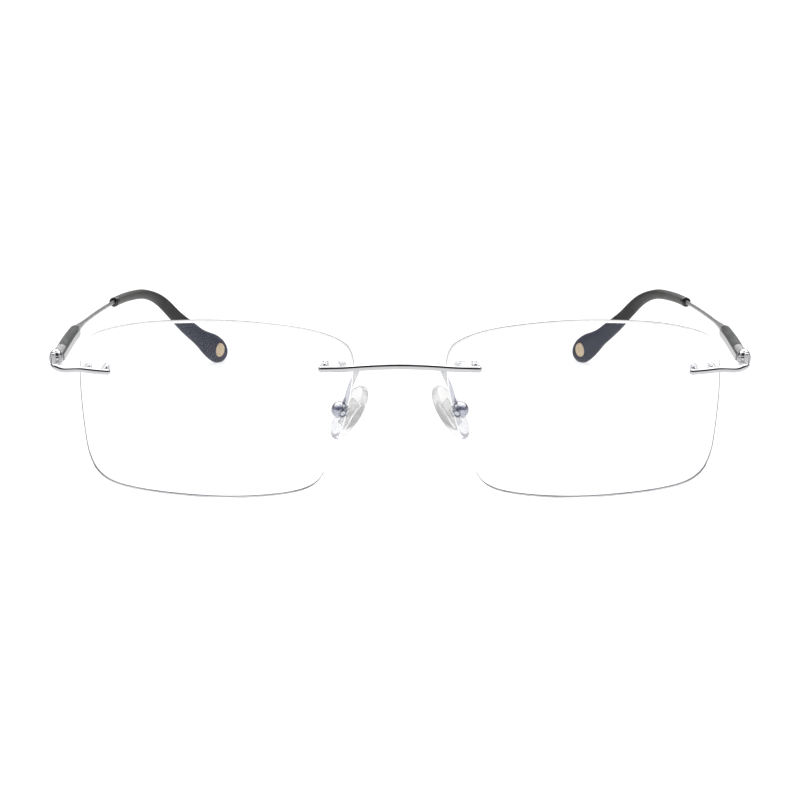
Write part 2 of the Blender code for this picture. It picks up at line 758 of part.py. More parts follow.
def make_pad_box(side):
    frame = screw_frame()
    steps = 6
    profile = []
    for i in range(steps + 1):
        angle = math.radians(PAD_BOX_POLE * (2 * i / steps - 1))
        profile.append((PAD_BOX_RADIUS * math.cos(angle), PAD_BOX_RADIUS * math.sin(angle)))
    box = side.piece("pad_box", turned(profile, frame), "silver")
    low, high = PAD_SLOT
    slot = block(pad_frame(), (-PAD_SLOT_HALF, *low), (PAD_SLOT_HALF, *high))
    side.boolean(box, "DIFFERENCE", "slot", slot)
    side.boolean(box, "DIFFERENCE", "bore", cylinder(frame, PAD_PIN_BORE, -3, 3, 12))
    seat_radius, seat_depth = PAD_SCREW_SEAT
    side.boolean(box, "DIFFERENCE", "seat", cylinder(frame, seat_radius, seat_depth, 3))


def make_pad_screw(side):
    slotted_screw(side, "pad_screw", screw_frame(), PAD_PIN, PAD_SCREW_HEAD, *PAD_SCREW_SPAN, 0.2)


def make_pad_insert(side):
    """The lug that turns on the screw and the plate that the pad is moulded over."""
    frame = pad_frame()
    thick, tall = PAD_LUG_HALF
    outline = [(-LUG_ROOT, -tall), (-LUG_ROOT, tall)]
    for i in range(9):
        angle = math.radians(90 - 22.5 * i)
        outline.append((tall * math.cos(angle), tall * math.sin(angle)))
    back, along, outward = (frame.col[i].to_3d() for i in range(3))
    lug_frame = placed(PAD_BOX, -outward, along, back)
    insert = side.piece("pad_insert", prism(lug_frame, outline, -thick, thick), "clear", "pad")
    plate_x, plate_y, plate_z = PAD_PLATE
    low = PAD_BACK + PAD_PLATE_DEPTH
    plate = block(frame, (-plate_x, -plate_y, low), (plate_x, plate_y, low + plate_z))
    side.boolean(insert, "UNION", "plate", plate, "pad")
    bore = cylinder(screw_frame(), PAD_PIN_BORE, -2, 2, 12)
    side.boolean(insert, "DIFFERENCE", "bore", bore, "pad")


def make_nose_pad(side):
    frame = pad_frame()
    half_x, half_y = PAD_HALF
    rings = []
    for share, reach in PAD_SECTIONS:
        place = PAD_BACK + PAD_THICKNESS * share
        rings.append(
            [frame @ Vector((half_x * reach * x + PAD_SHIFT, half_y * reach * y, place))
             for x, y in circle(1.0, 20)]
        )
    mesh = bmesh.new()
    skin(mesh, rings)
    pad = side.piece("nose_pad", mesh, "silicone", "pad")
    plate_x, plate_y, plate_z = (size + FIT for size in PAD_PLATE)
    low = PAD_BACK + PAD_PLATE_DEPTH
    pocket = block(frame, (-plate_x, -plate_y, low - FIT), (plate_x, plate_y, low + plate_z))
    side.boolean(pad, "DIFFERENCE", "pocket", pocket, "pad")
    thick, tall = (size + FIT for size in PAD_LUG_HALF)
    mouth = block(frame, (-thick, -tall, 0.0), (thick, tall, low + 0.2))
    side.boolean(pad, "DIFFERENCE", "mouth", mouth, "pad")


# ---------------------------------------------------------------- standing on the table

def rest_points():
    lens = [lens_point(x, y, depth) for x, y in lens_outline() for depth in (0.0, LENS_THICKNESS)]
    path, sections = tip_shape()
    tip = [point for ring in rings_along(path, sections, Vector((0, 0, 1))) for point in ring]
    return lens, tip


def rest_pitch():
    """The angle that brings the lowest points of lens and tip to one level."""
    lens, tip = rest_points()
    low, high = 0.0, math.radians(10)
    for _ in range(40):
        middle = (low + high) / 2
        turn = Matrix.Rotation(-middle, 3, "X")
        if min((turn @ p).z for p in lens) < min((turn @ p).z for p in tip):
            low = middle
        else:
            high = middle
    return low


def stand(datum, cut_targets, sides):
    """Tips the datum, moves it so that the object is centred over z = 0, and trims the feet."""
    pitch = rest_pitch()
    turn = Matrix.Rotation(-pitch, 3, "X")
    lens, tip = rest_points()
    floor = min((turn @ p).z for p in lens)
    front = min((turn @ p).y for p in bridge_path()) - WIRE_RADIUS
    back = max((turn @ p).y for p in tip)
    datum.rotation_euler = (-pitch, 0, 0)
    datum.location = Vector((0, -(front + back) / 2, -floor - TABLE_CUT)) * MM
    table = datum.matrix_basis.inverted()
    for target, joint in cut_targets:
        side = sides[0] if target.name.startswith(sides[0].name) else sides[1]
        mesh = bmesh.new()
        bmesh.ops.create_cube(mesh, size=1.0)
        slab = Matrix.Translation((0, 0, -0.01)) @ Matrix.Diagonal((0.4, 0.4, 0.02, 1.0))
        to_millimetres = side.flip @ Matrix.Scale(1000, 4)
        bmesh.ops.transform(mesh, matrix=to_millimetres @ table @ slab, verts=mesh.verts)
        side.boolean(target, "DIFFERENCE", "foot", mesh, joint)


def main():
    clear_scene()
    for name in COLOURS:
        MATERIALS[name] = material(name)
    datum = empty("glasses_datum", Vector())
    sides = [Side("left", False, datum), Side("right", True, datum)]
    make_bridge(sides)
    feet = []
    for side in sides:
        side.anchor("temple", HINGE)
        side.anchor("pad", PAD_BOX)
        feet.append((make_lens(side), None))
        make_plug(side, "bridge_plug", BRIDGE_HOLES, BRIDGE_HOLE_HEIGHT)
        make_plug(side, "endpiece_plug", ENDPIECE_HOLES, ENDPIECE_HOLE_HEIGHT)
        make_endpiece(side)
        make_hinge_screw(side)
        make_hinge_leaf(side)
        make_barrel(side)
        make_temple_rod(side)
        make_tip_ring(side)
        feet.append((make_temple_tip(side), "temple"))
        make_pad_arm(side)
        make_pad_box(side)
        make_pad_screw(side)
        make_pad_insert(side)
        make_nose_pad(side)
    stand(datum, feet, sides)


main()
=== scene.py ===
"""The looks of a pair of rimless eyeglasses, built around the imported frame.

Each piece is drawn in the frame of the glasses, in millimetres: x to the right as seen from the
front, y backwards along the temples, z up. It is drawn for the side at -x, called left, mirrored
for the other side, and then carried to the frame's place in metres.
"""

import json
import math

import bmesh
import bpy
from mathutils import Matrix, Vector


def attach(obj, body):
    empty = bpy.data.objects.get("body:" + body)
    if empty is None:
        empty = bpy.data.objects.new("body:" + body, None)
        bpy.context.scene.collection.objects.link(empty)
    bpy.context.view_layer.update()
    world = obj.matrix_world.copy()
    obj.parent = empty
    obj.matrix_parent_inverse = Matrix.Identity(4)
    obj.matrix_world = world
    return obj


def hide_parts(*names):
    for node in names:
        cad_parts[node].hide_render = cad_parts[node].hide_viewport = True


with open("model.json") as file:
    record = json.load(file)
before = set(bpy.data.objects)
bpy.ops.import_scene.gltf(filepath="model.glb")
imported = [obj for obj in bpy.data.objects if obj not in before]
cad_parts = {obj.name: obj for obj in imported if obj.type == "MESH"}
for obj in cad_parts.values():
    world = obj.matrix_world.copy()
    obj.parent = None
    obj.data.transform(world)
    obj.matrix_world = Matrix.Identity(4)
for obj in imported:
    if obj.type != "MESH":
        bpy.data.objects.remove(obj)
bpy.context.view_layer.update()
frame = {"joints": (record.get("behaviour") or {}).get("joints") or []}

MM = 0.001

# Lenses.
LENS_CENTRE_X = 36.75
LENS_CENTRE_Y = -1.0
LENS_CURVE_RADIUS = 130.0
LENS_THICKNESS = 2.0
LENS_CHAMFER = 0.16
# The edge's dark line, a painted shade in grey: its width at the back, and the height below which
# the front has one.
LENS_SHADE_LINE = 0.62
LENS_FRONT_SHADE_BELOW = -13.0
# How squarely a facet looks forwards or backwards when it belongs to a lens face.
LENS_FACE_SQUARE = 0.9
LENS_WRAP = math.radians(5.0)
PANTOSCOPIC_TILT = math.radians(8.1)
LENS_RINGS = 8
LENS_STEPS = 10
LENS_OUTLINE = (
    (1.0, 17.9), (12.8, 17.1), (21.5, 15.2), (25.6, 13.0), (27.3, 8.8), (27.5, 3.0),
    (27.0, -5.0), (26.2, -11.0), (24.2, -15.0), (20.0, -17.25), (11.0, -18.4), (-2.0, -18.8),
    (-13.0, -17.95), (-18.8, -16.2), (-21.7, -12.7), (-24.4, -6.3), (-26.3, 0.5), (-27.3, 7.0),
    (-26.85, 11.35), (-24.5, 13.9), (-18.6, 16.1), (-9.0, 17.5),
)

# Wires and the pins that hold them to the lenses.
WIRE_RADIUS = 0.66
ENDPIECE_RADIUS = 0.6
WIRE_STAND_OFF = 0.3
BRIDGE_HOLES = (-24.9, -21.6)
BRIDGE_HOLE_HEIGHT = 8.85
BRIDGE_OVERHANG = 1.05
BRIDGE_SHOULDER = (-5.2, -3.3, 9.05)
BRIDGE_CENTRE = (0.0, -3.75, 9.27)
ENDPIECE_HOLES = (22.0, 25.7)
ENDPIECE_HOLE_HEIGHT = 7.15
LENS_HOLE_RADIUS = 0.80
DRILL_PAST = 1.5
PLUG_RADIUS = 0.73
PLUG_GAP = 0.12
PLUG_BORE_RADIUS = 0.46
PLUG_BAR = (1.15, 0.45)
PLUG_HEAD = (0.66, 0.16)
PLUG_MOUTH = 0.15
PLUG_EDGE = 0.06
PLUG_BAR_EDGE = 0.08
PLUG_SIDES = 28
PIN_RADIUS = 0.39
PIN_SIDES = 20
# A pin's radius at shares of its length: straight, a shallow groove, and a narrower end.
PIN_PROFILE = ((1.0, 0.6), (0.8, 0.68), (1.0, 0.85), (0.7, 1.0))
# The domed nose of a wire: the angles of its rings, and its length as a share of the radius.
NOSE_ANGLES = (84, 66, 48, 32, 16)
NOSE_LENGTH = 0.9
BRIDGE_LEAVES_LENS = 1.0
ENDPIECE_OVERHANG = 0.7
ENDPIECE_LEAVES_LENS = (1.4, 0.05)

# Temple hinge. The offsets are from the hinge's centre.
HINGE = Vector((-68.9, 7.0, 9.15))
ENDPIECE_ELBOW = ((1.9, -3.1, -1.8), (0.3, -2.75, -1.35), (-0.4, -1.9, -0.95))
WEB = (-0.3, -2.1, 0.0)
WEB_RADIUS = 0.55
WEB_INSET = 0.125
WEB_EDGE = 0.3
ARM_LOW = (-0.75, -2.0)
ARM_HIGH = (0.2, -0.3)
ARM_INSET = 0.12
ARM_EDGE = 0.12
NECK = ((-0.6, 0.3, -0.5), (0.8, 2.05, 0.5))
STRIP_ROOT = ((0.4, 1.3, -0.5), (1.15, 2.1, 0.5))
NECK_EDGE = 0.1
KNUCKLE_RADIUS = 1.4
KNUCKLE_BORE = 0.57
KNUCKLE_GAP = 0.1
KNUCKLE_EDGE = 0.05
# Half the height of the egg shape that the knuckles are cut from, and the steps of one slice.
EGG_HALF_HEIGHT = 1.9
EGG_STEPS = 8
MIDDLE_KNUCKLE = 0.55
HINGE_HALF_HEIGHT = 1.5
SCREW_RADIUS = 0.5
SCREW_HEAD_HEIGHT = 0.3
SCREW_SLOT = (0.16, 0.12)
SCREW_FOOT = 0.1
# A screw's end: the radius of its foot as a share of the shank's, and the length of that taper.
SCREW_TAPER = (0.75, 0.2)

# Temple.
TEMPLE_PATH = (
    (-68.9, 7.0, 9.1), (-69.4, 20.0, 9.1), (-69.9, 35.0, 9.1), (-69.9, 49.0, 9.2),
    (-69.2, 62.0, 9.3), (-67.9, 77.0, 9.4), (-66.2, 89.5, 9.5), (-63.8, 98.0, 9.65),
    (-60.9, 105.0, 9.15), (-57.8, 112.0, 6.55), (-53.7, 120.0, 0.5), (-49.1, 126.5, -4.95),
    (-44.0, 133.8, -10.3),
)
BARREL_RADIUS = 1.19
BARREL_FLAT = 1.0
BARREL_BORE = 0.52
COLLAR_SPAN = (9.2, 18.6)
SLEEVE_SPAN = (18.75, 45.4)
STRIP_SPAN = (8.5, 42.5)
STRIP_THICKNESS = 0.5
STRIP_HALF_HEIGHT = 0.75
STRIP_EASE = (0.12, 0.3)
# The last stations of the strip: how far back from its end, in steps, and their height.
STRIP_END = ((0.3, 0.92), (0.12, 0.78), (0.0, 0.55))
# Small distances from the ends of a tube, where its edges are eased, and its size at them.
COLLAR_GAPS = (0.05, 0.15, 0.3)
COLLAR_ENDS = (0.93, 0.98)
SLEEVE_GAPS = (0.04, 0.14, 0.32, 0.6, 0.95)
SLEEVE_START = (0.95, 0.985)
SLEEVE_END = (0.80, 0.84, 0.90, 0.95, 0.98)
CORE_RADIUS = 0.45
ROD_RADIUS = 0.43
ROD_INSET = 0.6
CONE_SPAN = (45.6, 60.0)
CONE_RADIUS = 0.85
RING_SPAN = (88.2, 89.9)
RING_RADIUS = 1.12
# The ring's size at shares of its length: rounded rims and a groove round its middle.
RING_PROFILE = (
    (0.0, 0.86), (0.04, 0.95), (0.12, 1.0), (0.34, 1.0), (0.42, 0.93), (0.5, 0.9),
    (0.58, 0.93), (0.66, 1.0), (0.9, 1.0), (0.97, 0.96), (1.0, 0.88),
)
TIP_START = 90.0
TIP_BORE = 0.5
TIP_BORE_END = 123.0
TIP_SIDES = 40
TIP_PROFILE = (
    (0.0, 1.08, 1.08), (0.3, 1.08, 1.15), (0.55, 1.12, 1.65), (0.76, 1.25, 2.1), (0.91, 1.45, 3.2),
    (1.0, 1.45, 3.2),
)
# Where along the tip its height and its thickness start to round off, and how far they get.
TIP_END_START = (0.925, 0.968)
TIP_END_CLOSES = 0.985
TIP_END_STEPS = (
    0.06, 0.2, 0.34, 0.46, 0.57, 0.67, 0.76, 0.84, 0.9, 0.95, 0.98, 0.995, 1.0,
)
# The mouth of the tip is eased: its size there, and the share of the length until it is full.
TIP_MOUTH = (0.93, 0.006)
INLAY_RADIUS = 1.7
INLAY_DEPTH = 0.45
INLAY_FROM_END = 4.0
INLAY_FACE = 1.42
INLAY_SIDES = 48
# The disc's outline: a share of its radius, less a small size, at a height.
INLAY_PROFILE = (
    (1.0, 0.04, -INLAY_DEPTH), (1.0, 0.0, -INLAY_DEPTH + 0.04), (1.0, 0.0, -0.14),
    (1.0, 0.05, -0.05), (1.0, 0.16, -0.02), (0.5, 0.0, 0.0),
)

# Nose pads.
PAD_BOX = Vector((-12.15, 6.4, -1.03))
PAD_SCREW_AXIS = Vector((0.45, -0.83, -0.34))
PAD_OUTWARD = Vector((0.725, 0.55, -0.425))
PAD_BOX_RADIUS = 1.7
PAD_ARM_RADIUS = 0.54
PAD_ARM_ROOT_X = -7.6
PAD_ARM_PATH = ((-7.8, 0.0, 8.8), (-8.2, 2.6, 8.1), (-8.9, 4.7, 6.2), (-10.1, 5.8, 3.4))
# How much the arm is pressed flat along its middle, and how soon it gets there.
PAD_ARM_FLAT = (0.4, 0.7)
PAD_ARM_SIDES = 28
PAD_SLOT_HALF = 0.6
PAD_SLOT_EDGE = 0.1
PAD_LUG_HALF = (0.5, 0.75)
PAD_PIN = 0.36
PAD_PIN_BORE = 0.42
PAD_HALF = (3.3, 6.15)
PAD_SHIFT = 0.7
PAD_BACK = 2.2
PAD_THICKNESS = 2.2
PAD_PLATE = (1.4, 2.8, 0.5)
PAD_PLATE_DEPTH = 0.35
PAD_PLATE_EDGE = 0.12
PAD_LUG_EDGE = 0.05
PAD_SIDES = 56
PAD_SECTIONS = (
    # Share of the pad's half size and of its thickness there, from its back to its face.
    (0.78, 0.0), (0.93, 0.12), (1.0, 0.35), (0.97, 0.62), (0.85, 0.85), (0.62, 0.97), (0.34, 1.0),
)
PAD_BOX_POLE = 68
PAD_SLOT = ((-1.15, -0.9), (1.15, 3.0))
PAD_SCREW_SEAT = (0.82, 1.05)
PAD_SCREW_HEAD = (0.60, 0.4)
# Shares of the head's radius and height, from its seat to its top.
PAD_SCREW_CROWN = ((0.95, 0.0), (1.0, 0.08), (1.0, 0.4), (0.93, 0.72), (0.82, 0.92), (0.68, 1.0))
PAD_SCREW_SLOT = (0.2, 0.5)
PAD_SCREW_SPAN = (-1.4, 1.2)
LUG_ROOT = 2.6

FIT = 0.07
FINE_SIDES = 36
FINE_STEPS = 10
UP = Vector((0, 0, 1))
MIRROR = Matrix.Scale(-1, 4, (1, 0, 0))

# Camera: its height and distance give a view from 13 degrees above the horizon.
CAMERA_PLACE = Vector((0.0, -0.5523, 0.1327))
CAMERA_AIM = Vector((0.0, -0.0650, 0.0205))
CAMERA_LENS = 113.63
SENSOR = 36.0


# -------------------------------- frames and curves

def glasses_matrix():
    """Carries a drawing from the glasses, in millimetres, to the frame, in metres."""
    hinge = next(j for j in frame["joints"] if j["name"] == "left_temple_fold")
    up = -Vector(hinge["axis"]).normalized()
    right = Vector((1, 0, 0))
    turn = Matrix((right, up.cross(right), up)).transposed()
    place = Vector(hinge["pos_m"]) - turn @ (HINGE * MM)
    return Matrix.Translation(place) @ turn.to_4x4() @ Matrix.Scale(MM, 4)


GLASSES = glasses_matrix()


def spline(points, steps, closed=False):
    """A smooth curve through the points, with so many steps from one to the next."""
    points = [Vector(point) for point in points]
    count = len(points)
    if not closed:
        points = [2 * points[0] - points[1], *points, 2 * points[-1] - points[-2]]
    curve = []
    for i in range(count if closed else count - 1):
        if closed:
            before, start, end, after = (points[(i + k) % count] for k in (-1, 0, 1, 2))
        else:
            before, start, end, after = points[i:i + 4]
        for step in range(steps):
            t = step / steps
            curve.append(
                0.5 * (
                    2 * start
                    + (end - before) * t
                    + (2 * before - 5 * start + 4 * end - after) * t ** 2
                    + (3 * (start - end) + after - before) * t ** 3
                )
            )
    if not closed:
        curve.append(points[-2].copy())
    return curve


def crossing(path, axis, value):
    """The point where a path that runs forward along an axis reaches a value of it."""
    for near, far in zip(path, path[1:]):
        if far[axis] >= value:
            return near.lerp(far, (value - near[axis]) / (far[axis] - near[axis]))
    return path[-1].copy()


def directions(path):
    last = len(path) - 1
    return [(path[min(i + 1, last)] - path[max(i - 1, 0)]).normalized() for i in range(last + 1)]


def rings_along(path, sections, up):
    """Places each section (sideways, upward) across the path at its own point."""
    rings = []
    for point, along, section in zip(path, directions(path), sections):
        sideways = along.cross(up).normalized()
        raised = sideways.cross(along)
        rings.append([point + sideways * u + raised * v for u, v in section])
    return rings


def skin(mesh, rings, cap_start=True, cap_end=True):
    """Joins rings of equal length into a closed tube."""
    loops = [[mesh.verts.new(point) for point in ring] for ring in rings]
    for near, far in zip(loops, loops[1:]):
        for i in range(len(near)):
            j = (i + 1) % len(near)
            mesh.faces.new((near[i], near[j], far[j], far[i]))
    if cap_start:
        mesh.faces.new(loops[0][::-1])
    if cap_end:
        mesh.faces.new(loops[-1])
    return loops


def ring_face(mesh, outer, inner):
    """Closes the end of a hollow tube between its outer and inner loop."""
    for i in range(len(outer)):
        j = (i + 1) % len(outer)
        mesh.faces.new((outer[i], outer[j], inner[j], inner[i]))


def circle(radius, sides=FINE_SIDES):
    turn = 2 * math.pi / sides
    return [(radius * math.cos(turn * i), radius * math.sin(turn * i)) for i in range(sides)]


def arc(across, up, radius, start, end, steps=5):
    """Points on part of a circle about (across, up), between two angles in degrees."""
    points = []
    for i in range(steps + 1):
        angle = math.radians(start + (end - start) * i / steps)
        points.append((across + radius * math.cos(angle), up + radius * math.sin(angle)))
    return points


def barrel_profile(radius, low, high, fillet):
    """A turned profile with rounded edges, from its lower end to its upper one."""
    return [
        (radius - fillet, low),
        *arc(radius - fillet, low + fillet, fillet, -75, 0),
        *arc(radius - fillet, high - fillet, fillet, 0, 75),
        (radius - fillet, high),
    ]


def solid_along(path, sections, up=UP):
    mesh = bmesh.new()
    skin(mesh, rings_along(path, sections, up))
    return mesh


def hollow_along(path, outer, inner, up=UP, inner_path=None):
    """A tube. With a shorter inner_path the bore is blind."""
    mesh = bmesh.new()
    blind = inner_path is not None
    outside = skin(mesh, rings_along(path, outer, up), False, blind)
    inside = skin(mesh, rings_along(inner_path or path, inner, up), False, blind)
    ring_face(mesh, outside[0], inside[0])
    if not blind:
        ring_face(mesh, outside[-1], inside[-1])
    return mesh


def placed(origin, x_axis, y_axis, z_axis):
    return Matrix.Translation(origin) @ Matrix((x_axis, y_axis, z_axis)).transposed().to_4x4()


def turned(profile, place, sides=FINE_SIDES):
    mesh = bmesh.new()
    skin(mesh, [
        [place @ Vector((x, y, height)) for x, y in circle(radius, sides)]
        for radius, height in profile
    ])
    return mesh


def cylinder(place, radius, low, high, sides=FINE_SIDES):
    return turned(((radius, low), (radius, high)), place, sides)


def block(place, low, high, edge=0.0):
    """A box between two corners, with its edges rounded."""
    mesh = bmesh.new()
    bmesh.ops.create_cube(mesh, size=1.0)
    size = Vector(high) - Vector(low)
    middle = (Vector(high) + Vector(low)) / 2
    fit = Matrix.Translation(middle) @ Matrix.Diagonal((*size, 1.0))
    bmesh.ops.transform(mesh, matrix=fit, verts=mesh.verts)
    if edge:
        bmesh.ops.bevel(
            mesh, geom=mesh.edges[:], offset=edge, segments=3, profile=0.5, affect="EDGES"
        )
    bmesh.ops.transform(mesh, matrix=place, verts=mesh.verts)
    return mesh


def prism(place, outline, low, high, edge=0.0):
    """An outline pulled from low to high, with its two rims eased."""
    levels = [(low, 0.0), (high, 0.0)]
    if edge:
        levels = [(low, edge), (low + edge, 0.0), (high - edge, 0.0), (high, edge)]
    middle = sum((Vector(point) for point in outline), Vector((0, 0))) / len(outline)
    rings = []
    for height, inwards in levels:
        ring = []
        for point in outline:
            x, y = Vector(point) + (middle - Vector(point)).normalized() * inwards
            ring.append(place @ Vector((x, y, height)))
        rings.append(ring)
    mesh = bmesh.new()
    skin(mesh, rings)
    return mesh


# -------------------------------- pieces

def mesh_data(name, mesh):
    data = bpy.data.meshes.new(name)
    mesh.to_mesh(data)
    mesh.free()
    return data


def in_scene(name, data):
    made = bpy.data.objects.new(name, data)
    bpy.context.scene.collection.objects.link(made)
    return made


def loose(mesh):
    bmesh.ops.recalc_face_normals(mesh, faces=mesh.faces)
    return in_scene("loose", mesh_data("loose", mesh))


def combined(mesh, *steps):
    """The mesh after each step, which is a Boolean operation and the mesh to do it with."""
    base = loose(mesh)
    tools = []
    for operation, tool_mesh in steps:
        tool = loose(tool_mesh)
        tools.append(tool)
        modifier = base.modifiers.new(operation, "BOOLEAN")
        modifier.operation = operation
        modifier.object = tool
        modifier.solver = "EXACT"
    graph = bpy.context.evaluated_depsgraph_get()
    result = bmesh.new()
    result.from_mesh(base.evaluated_get(graph).to_mesh())
    for made in (base, *tools):
        bpy.data.objects.remove(made)
    bmesh.ops.remove_doubles(result, verts=result.verts, dist=0.0005)
    return result


class Side:
    """One side of the glasses: names its pieces and mirrors them when they belong at +x."""

    def __init__(self, name, mirrored):
        self.name = name
        self.flip = MIRROR if mirrored else Matrix.Identity(4)

    def show(self, node, mesh, body, slot, materials, choose=None, smooth=35.0):
        """Shows a mesh in place of a CAD node. choose(face) picks the material of a face."""
        node = f"{self.name}_{node}" if self.name else node
        if choose:
            mesh.normal_update()
            for face in mesh.faces:
                face.material_index = choose(face)
        bmesh.ops.transform(mesh, matrix=GLASSES @ self.flip, verts=mesh.verts)
        bmesh.ops.recalc_face_normals(mesh, faces=mesh.faces)
        data = mesh_data(f"{node}_look", mesh)
        data.shade_smooth()
        data.set_sharp_from_angle(angle=math.radians(smooth))
        for material in materials:
            data.materials.append(material)
        made = in_scene(f"{node}_look", data)
        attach(made, body if body == "front" else f"{self.name}_{body}")
        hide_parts(node)


# -------------------------------- materials

# Nearly all of a noise lies between these two values.
GRAIN_LOW, GRAIN_HIGH = 0.3, 0.7


def set_inputs(node, inputs):
    for key, value in inputs.items():
        node.inputs[key.replace("_", " ")].default_value = value


def add_node(tree, kind, **inputs):
    node = tree.nodes.new("ShaderNode" + kind)
    set_inputs(node, inputs)
    return node


class Surface:
    """A Principled material under construction, with its nodes in the piece's own space."""

    def __init__(self, name, **inputs):
        self.material = bpy.data.materials.new(name)
        self.material.use_nodes = True
        self.tree = self.material.node_tree
        self.shader = self.tree.nodes["Principled BSDF"]
        self.output = self.tree.nodes["Material Output"]
        set_inputs(self.shader, inputs)
        self.place = self.node("TexCoord")

    def node(self, kind, **inputs):
        return add_node(self.tree, kind, **inputs)

    def link(self, source, target):
        self.tree.links.new(source, target)

    def grain(self, size, stretch=(1, 1, 1), detail=3.0):
        """Noise with grains of that size in metres, drawn out along the stretched axes."""
        mapping = self.node("Mapping", Scale=[1 / size / s for s in stretch])
        noise = self.node("TexNoise", Scale=1.0, Detail=detail)
        self.link(self.place.outputs["Object"], mapping.inputs["Vector"])
        self.link(mapping.outputs["Vector"], noise.inputs["Vector"])
        return noise.outputs["Fac"]

    def fade(self, axis, start, end, grain, looseness=0.4):
        """0 before start and 1 after end along an axis in metres, loosened by a grain."""
        split = self.node("SeparateXYZ")
        spread = self.node("MapRange", From_Min=start, From_Max=end)
        loose = self.node("Math")
        loose.operation = "MULTIPLY_ADD"
        loose.inputs[1].default_value = looseness
        shift = self.node("Math")
        shift.operation = "SUBTRACT"
        shift.inputs[1].default_value = looseness / 2
        self.link(self.place.outputs["Object"], split.inputs["Vector"])
        self.link(split.outputs[axis], spread.inputs["Value"])
        self.link(grain, loose.inputs[0])
        self.link(spread.outputs["Result"], loose.inputs[2])
        self.link(loose.outputs["Value"], shift.inputs[0])
        return shift.outputs["Value"]

    def colour(self, factor, dark, light, low=GRAIN_LOW, high=GRAIN_HIGH):
        ramp = self.node("ValToRGB")
        for stop, place, tone in zip(ramp.color_ramp.elements, (low, high), (dark, light)):
            stop.position = place
            stop.color = (*tone, 1.0)
        self.link(factor, ramp.inputs["Fac"])
        self.link(ramp.outputs["Color"], self.shader.inputs["Base Color"])

    def roughness(self, factor, low, high):
        spread = self.node(
            "MapRange", From_Min=GRAIN_LOW, From_Max=GRAIN_HIGH, To_Min=low, To_Max=high
        )
        self.link(factor, spread.inputs["Value"])
        self.link(spread.outputs["Result"], self.shader.inputs["Roughness"])

    def bump(self, factor, height):
        bump = self.node("Bump", Strength=1.0, Distance=height)
        self.link(factor, bump.inputs["Height"])
        self.link(bump.outputs["Normal"], self.shader.inputs["Normal"])

    def lets_lamps_through(self, tint):
        """Clear plastic: lamps shine through it instead of casting its whole shadow."""
        clear = self.node("BsdfTransparent", Color=(tint, tint, tint, 1.0))
        path = self.node("LightPath")
        mix = self.node("MixShader")
        self.link(path.outputs["Is Shadow Ray"], mix.inputs["Fac"])
        self.link(self.shader.outputs["BSDF"], mix.inputs[1])
        self.link(clear.outputs["BSDF"], mix.inputs[2])
        self.link(mix.outputs["Shader"], self.output.inputs["Surface"])


def polished_metal():
    made = Surface("polished_metal", Metallic=1.0)
    made.colour(made.grain(0.004), (0.60, 0.60, 0.62), (0.67, 0.67, 0.69))
    made.roughness(made.grain(0.0012), 0.03, 0.08)
    made.bump(made.grain(0.0004, detail=5.0), 0.0000008)
    return made.material


def drawn_metal():
    """The wires that weren't polished after drawing: a duller, slightly violet grey."""
    made = Surface("drawn_metal", Metallic=1.0)
    made.colour(made.grain(0.0007, (1, 6, 1)), (0.68, 0.68, 0.70), (0.80, 0.80, 0.82))
    made.roughness(made.grain(0.0005), 0.26, 0.36)
    made.bump(made.grain(0.0002, (1, 6, 1), 5.0), 0.000002)
    return made.material


def box_metal():
    """The pad boxes, which look darker than the wires: a darker copy of the wire metal, painted
    shade.
    """
    made = Surface("box_metal", Metallic=1.0)
    made.colour(made.grain(0.0007), (0.46, 0.46, 0.49), (0.56, 0.56, 0.59))
    made.roughness(made.grain(0.0004), 0.20, 0.32)
    made.bump(made.grain(0.0002, detail=5.0), 0.000002)
    return made.material


def satin_metal():
    made = Surface("satin_metal", Metallic=1.0)
    made.colour(made.grain(0.0006, (1, 5, 1)), (0.86, 0.86, 0.87), (0.98, 0.98, 0.99))
    made.roughness(made.grain(0.0005), 0.30, 0.42)
    made.bump(made.grain(0.00022, (1, 4, 1), 5.0), 0.000006)
    return made.material


def screw_metal():
    made = Surface("screw_metal", Metallic=1.0)
    made.colour(made.grain(0.0008), (0.60, 0.61, 0.63), (0.76, 0.77, 0.79))
    made.roughness(made.grain(0.0003), 0.10, 0.22)
    made.bump(made.grain(0.0002, detail=4.0), 0.000002)
    return made.material


def sleeve_grey():
    made = Surface("sleeve_grey", Metallic=0.35, Coat_Weight=0.12, Coat_Roughness=0.2)
    made.colour(made.grain(0.0009, (1, 9, 1), 4.0), (0.082, 0.083, 0.085), (0.170, 0.172, 0.174))
    made.roughness(made.grain(0.0006, (1, 6, 1)), 0.30, 0.42)
    made.bump(made.grain(0.00025, (1, 12, 1), 5.0), 0.000004)
    return made.material


def ring_black():
    made = Surface("ring_black", Coat_Weight=0.6, Coat_Roughness=0.04)
    made.colour(made.grain(0.001), (0.006, 0.006, 0.007), (0.016, 0.016, 0.018))
    made.roughness(made.grain(0.0007), 0.08, 0.16)
    return made.material


# Where the tip's painted highlight, a lighter grey near its mouth, gives way to its deep grey, in
# metres behind the middle of the object.
TIP_HIGHLIGHT_SPAN = (0.030, 0.052)


def tip_grey():
    made = Surface("tip_grey", Specular_IOR_Level=0.4)
    # Painted highlight: the grey is lighter near the tip's mouth and deepens further back.
    made.colour(
        made.fade(1, *TIP_HIGHLIGHT_SPAN, made.grain(0.006, (1, 2.5, 1), 5.0)),
        (0.105, 0.104, 0.101), (0.016, 0.016, 0.015), 0.0, 0.8,
    )
    made.roughness(made.grain(0.003), 0.36, 0.50)
    made.bump(made.grain(0.0007, detail=5.0), 0.000003)
    return made.material


def inlay_beige():
    made = Surface("inlay_beige", Metallic=0.15)
    made.colour(made.grain(0.0009, detail=5.0), (0.66, 0.50, 0.29), (0.82, 0.65, 0.41))
    made.roughness(made.grain(0.0006), 0.28, 0.42)
    made.bump(made.grain(0.0004, detail=5.0), 0.000004)
    return made.material


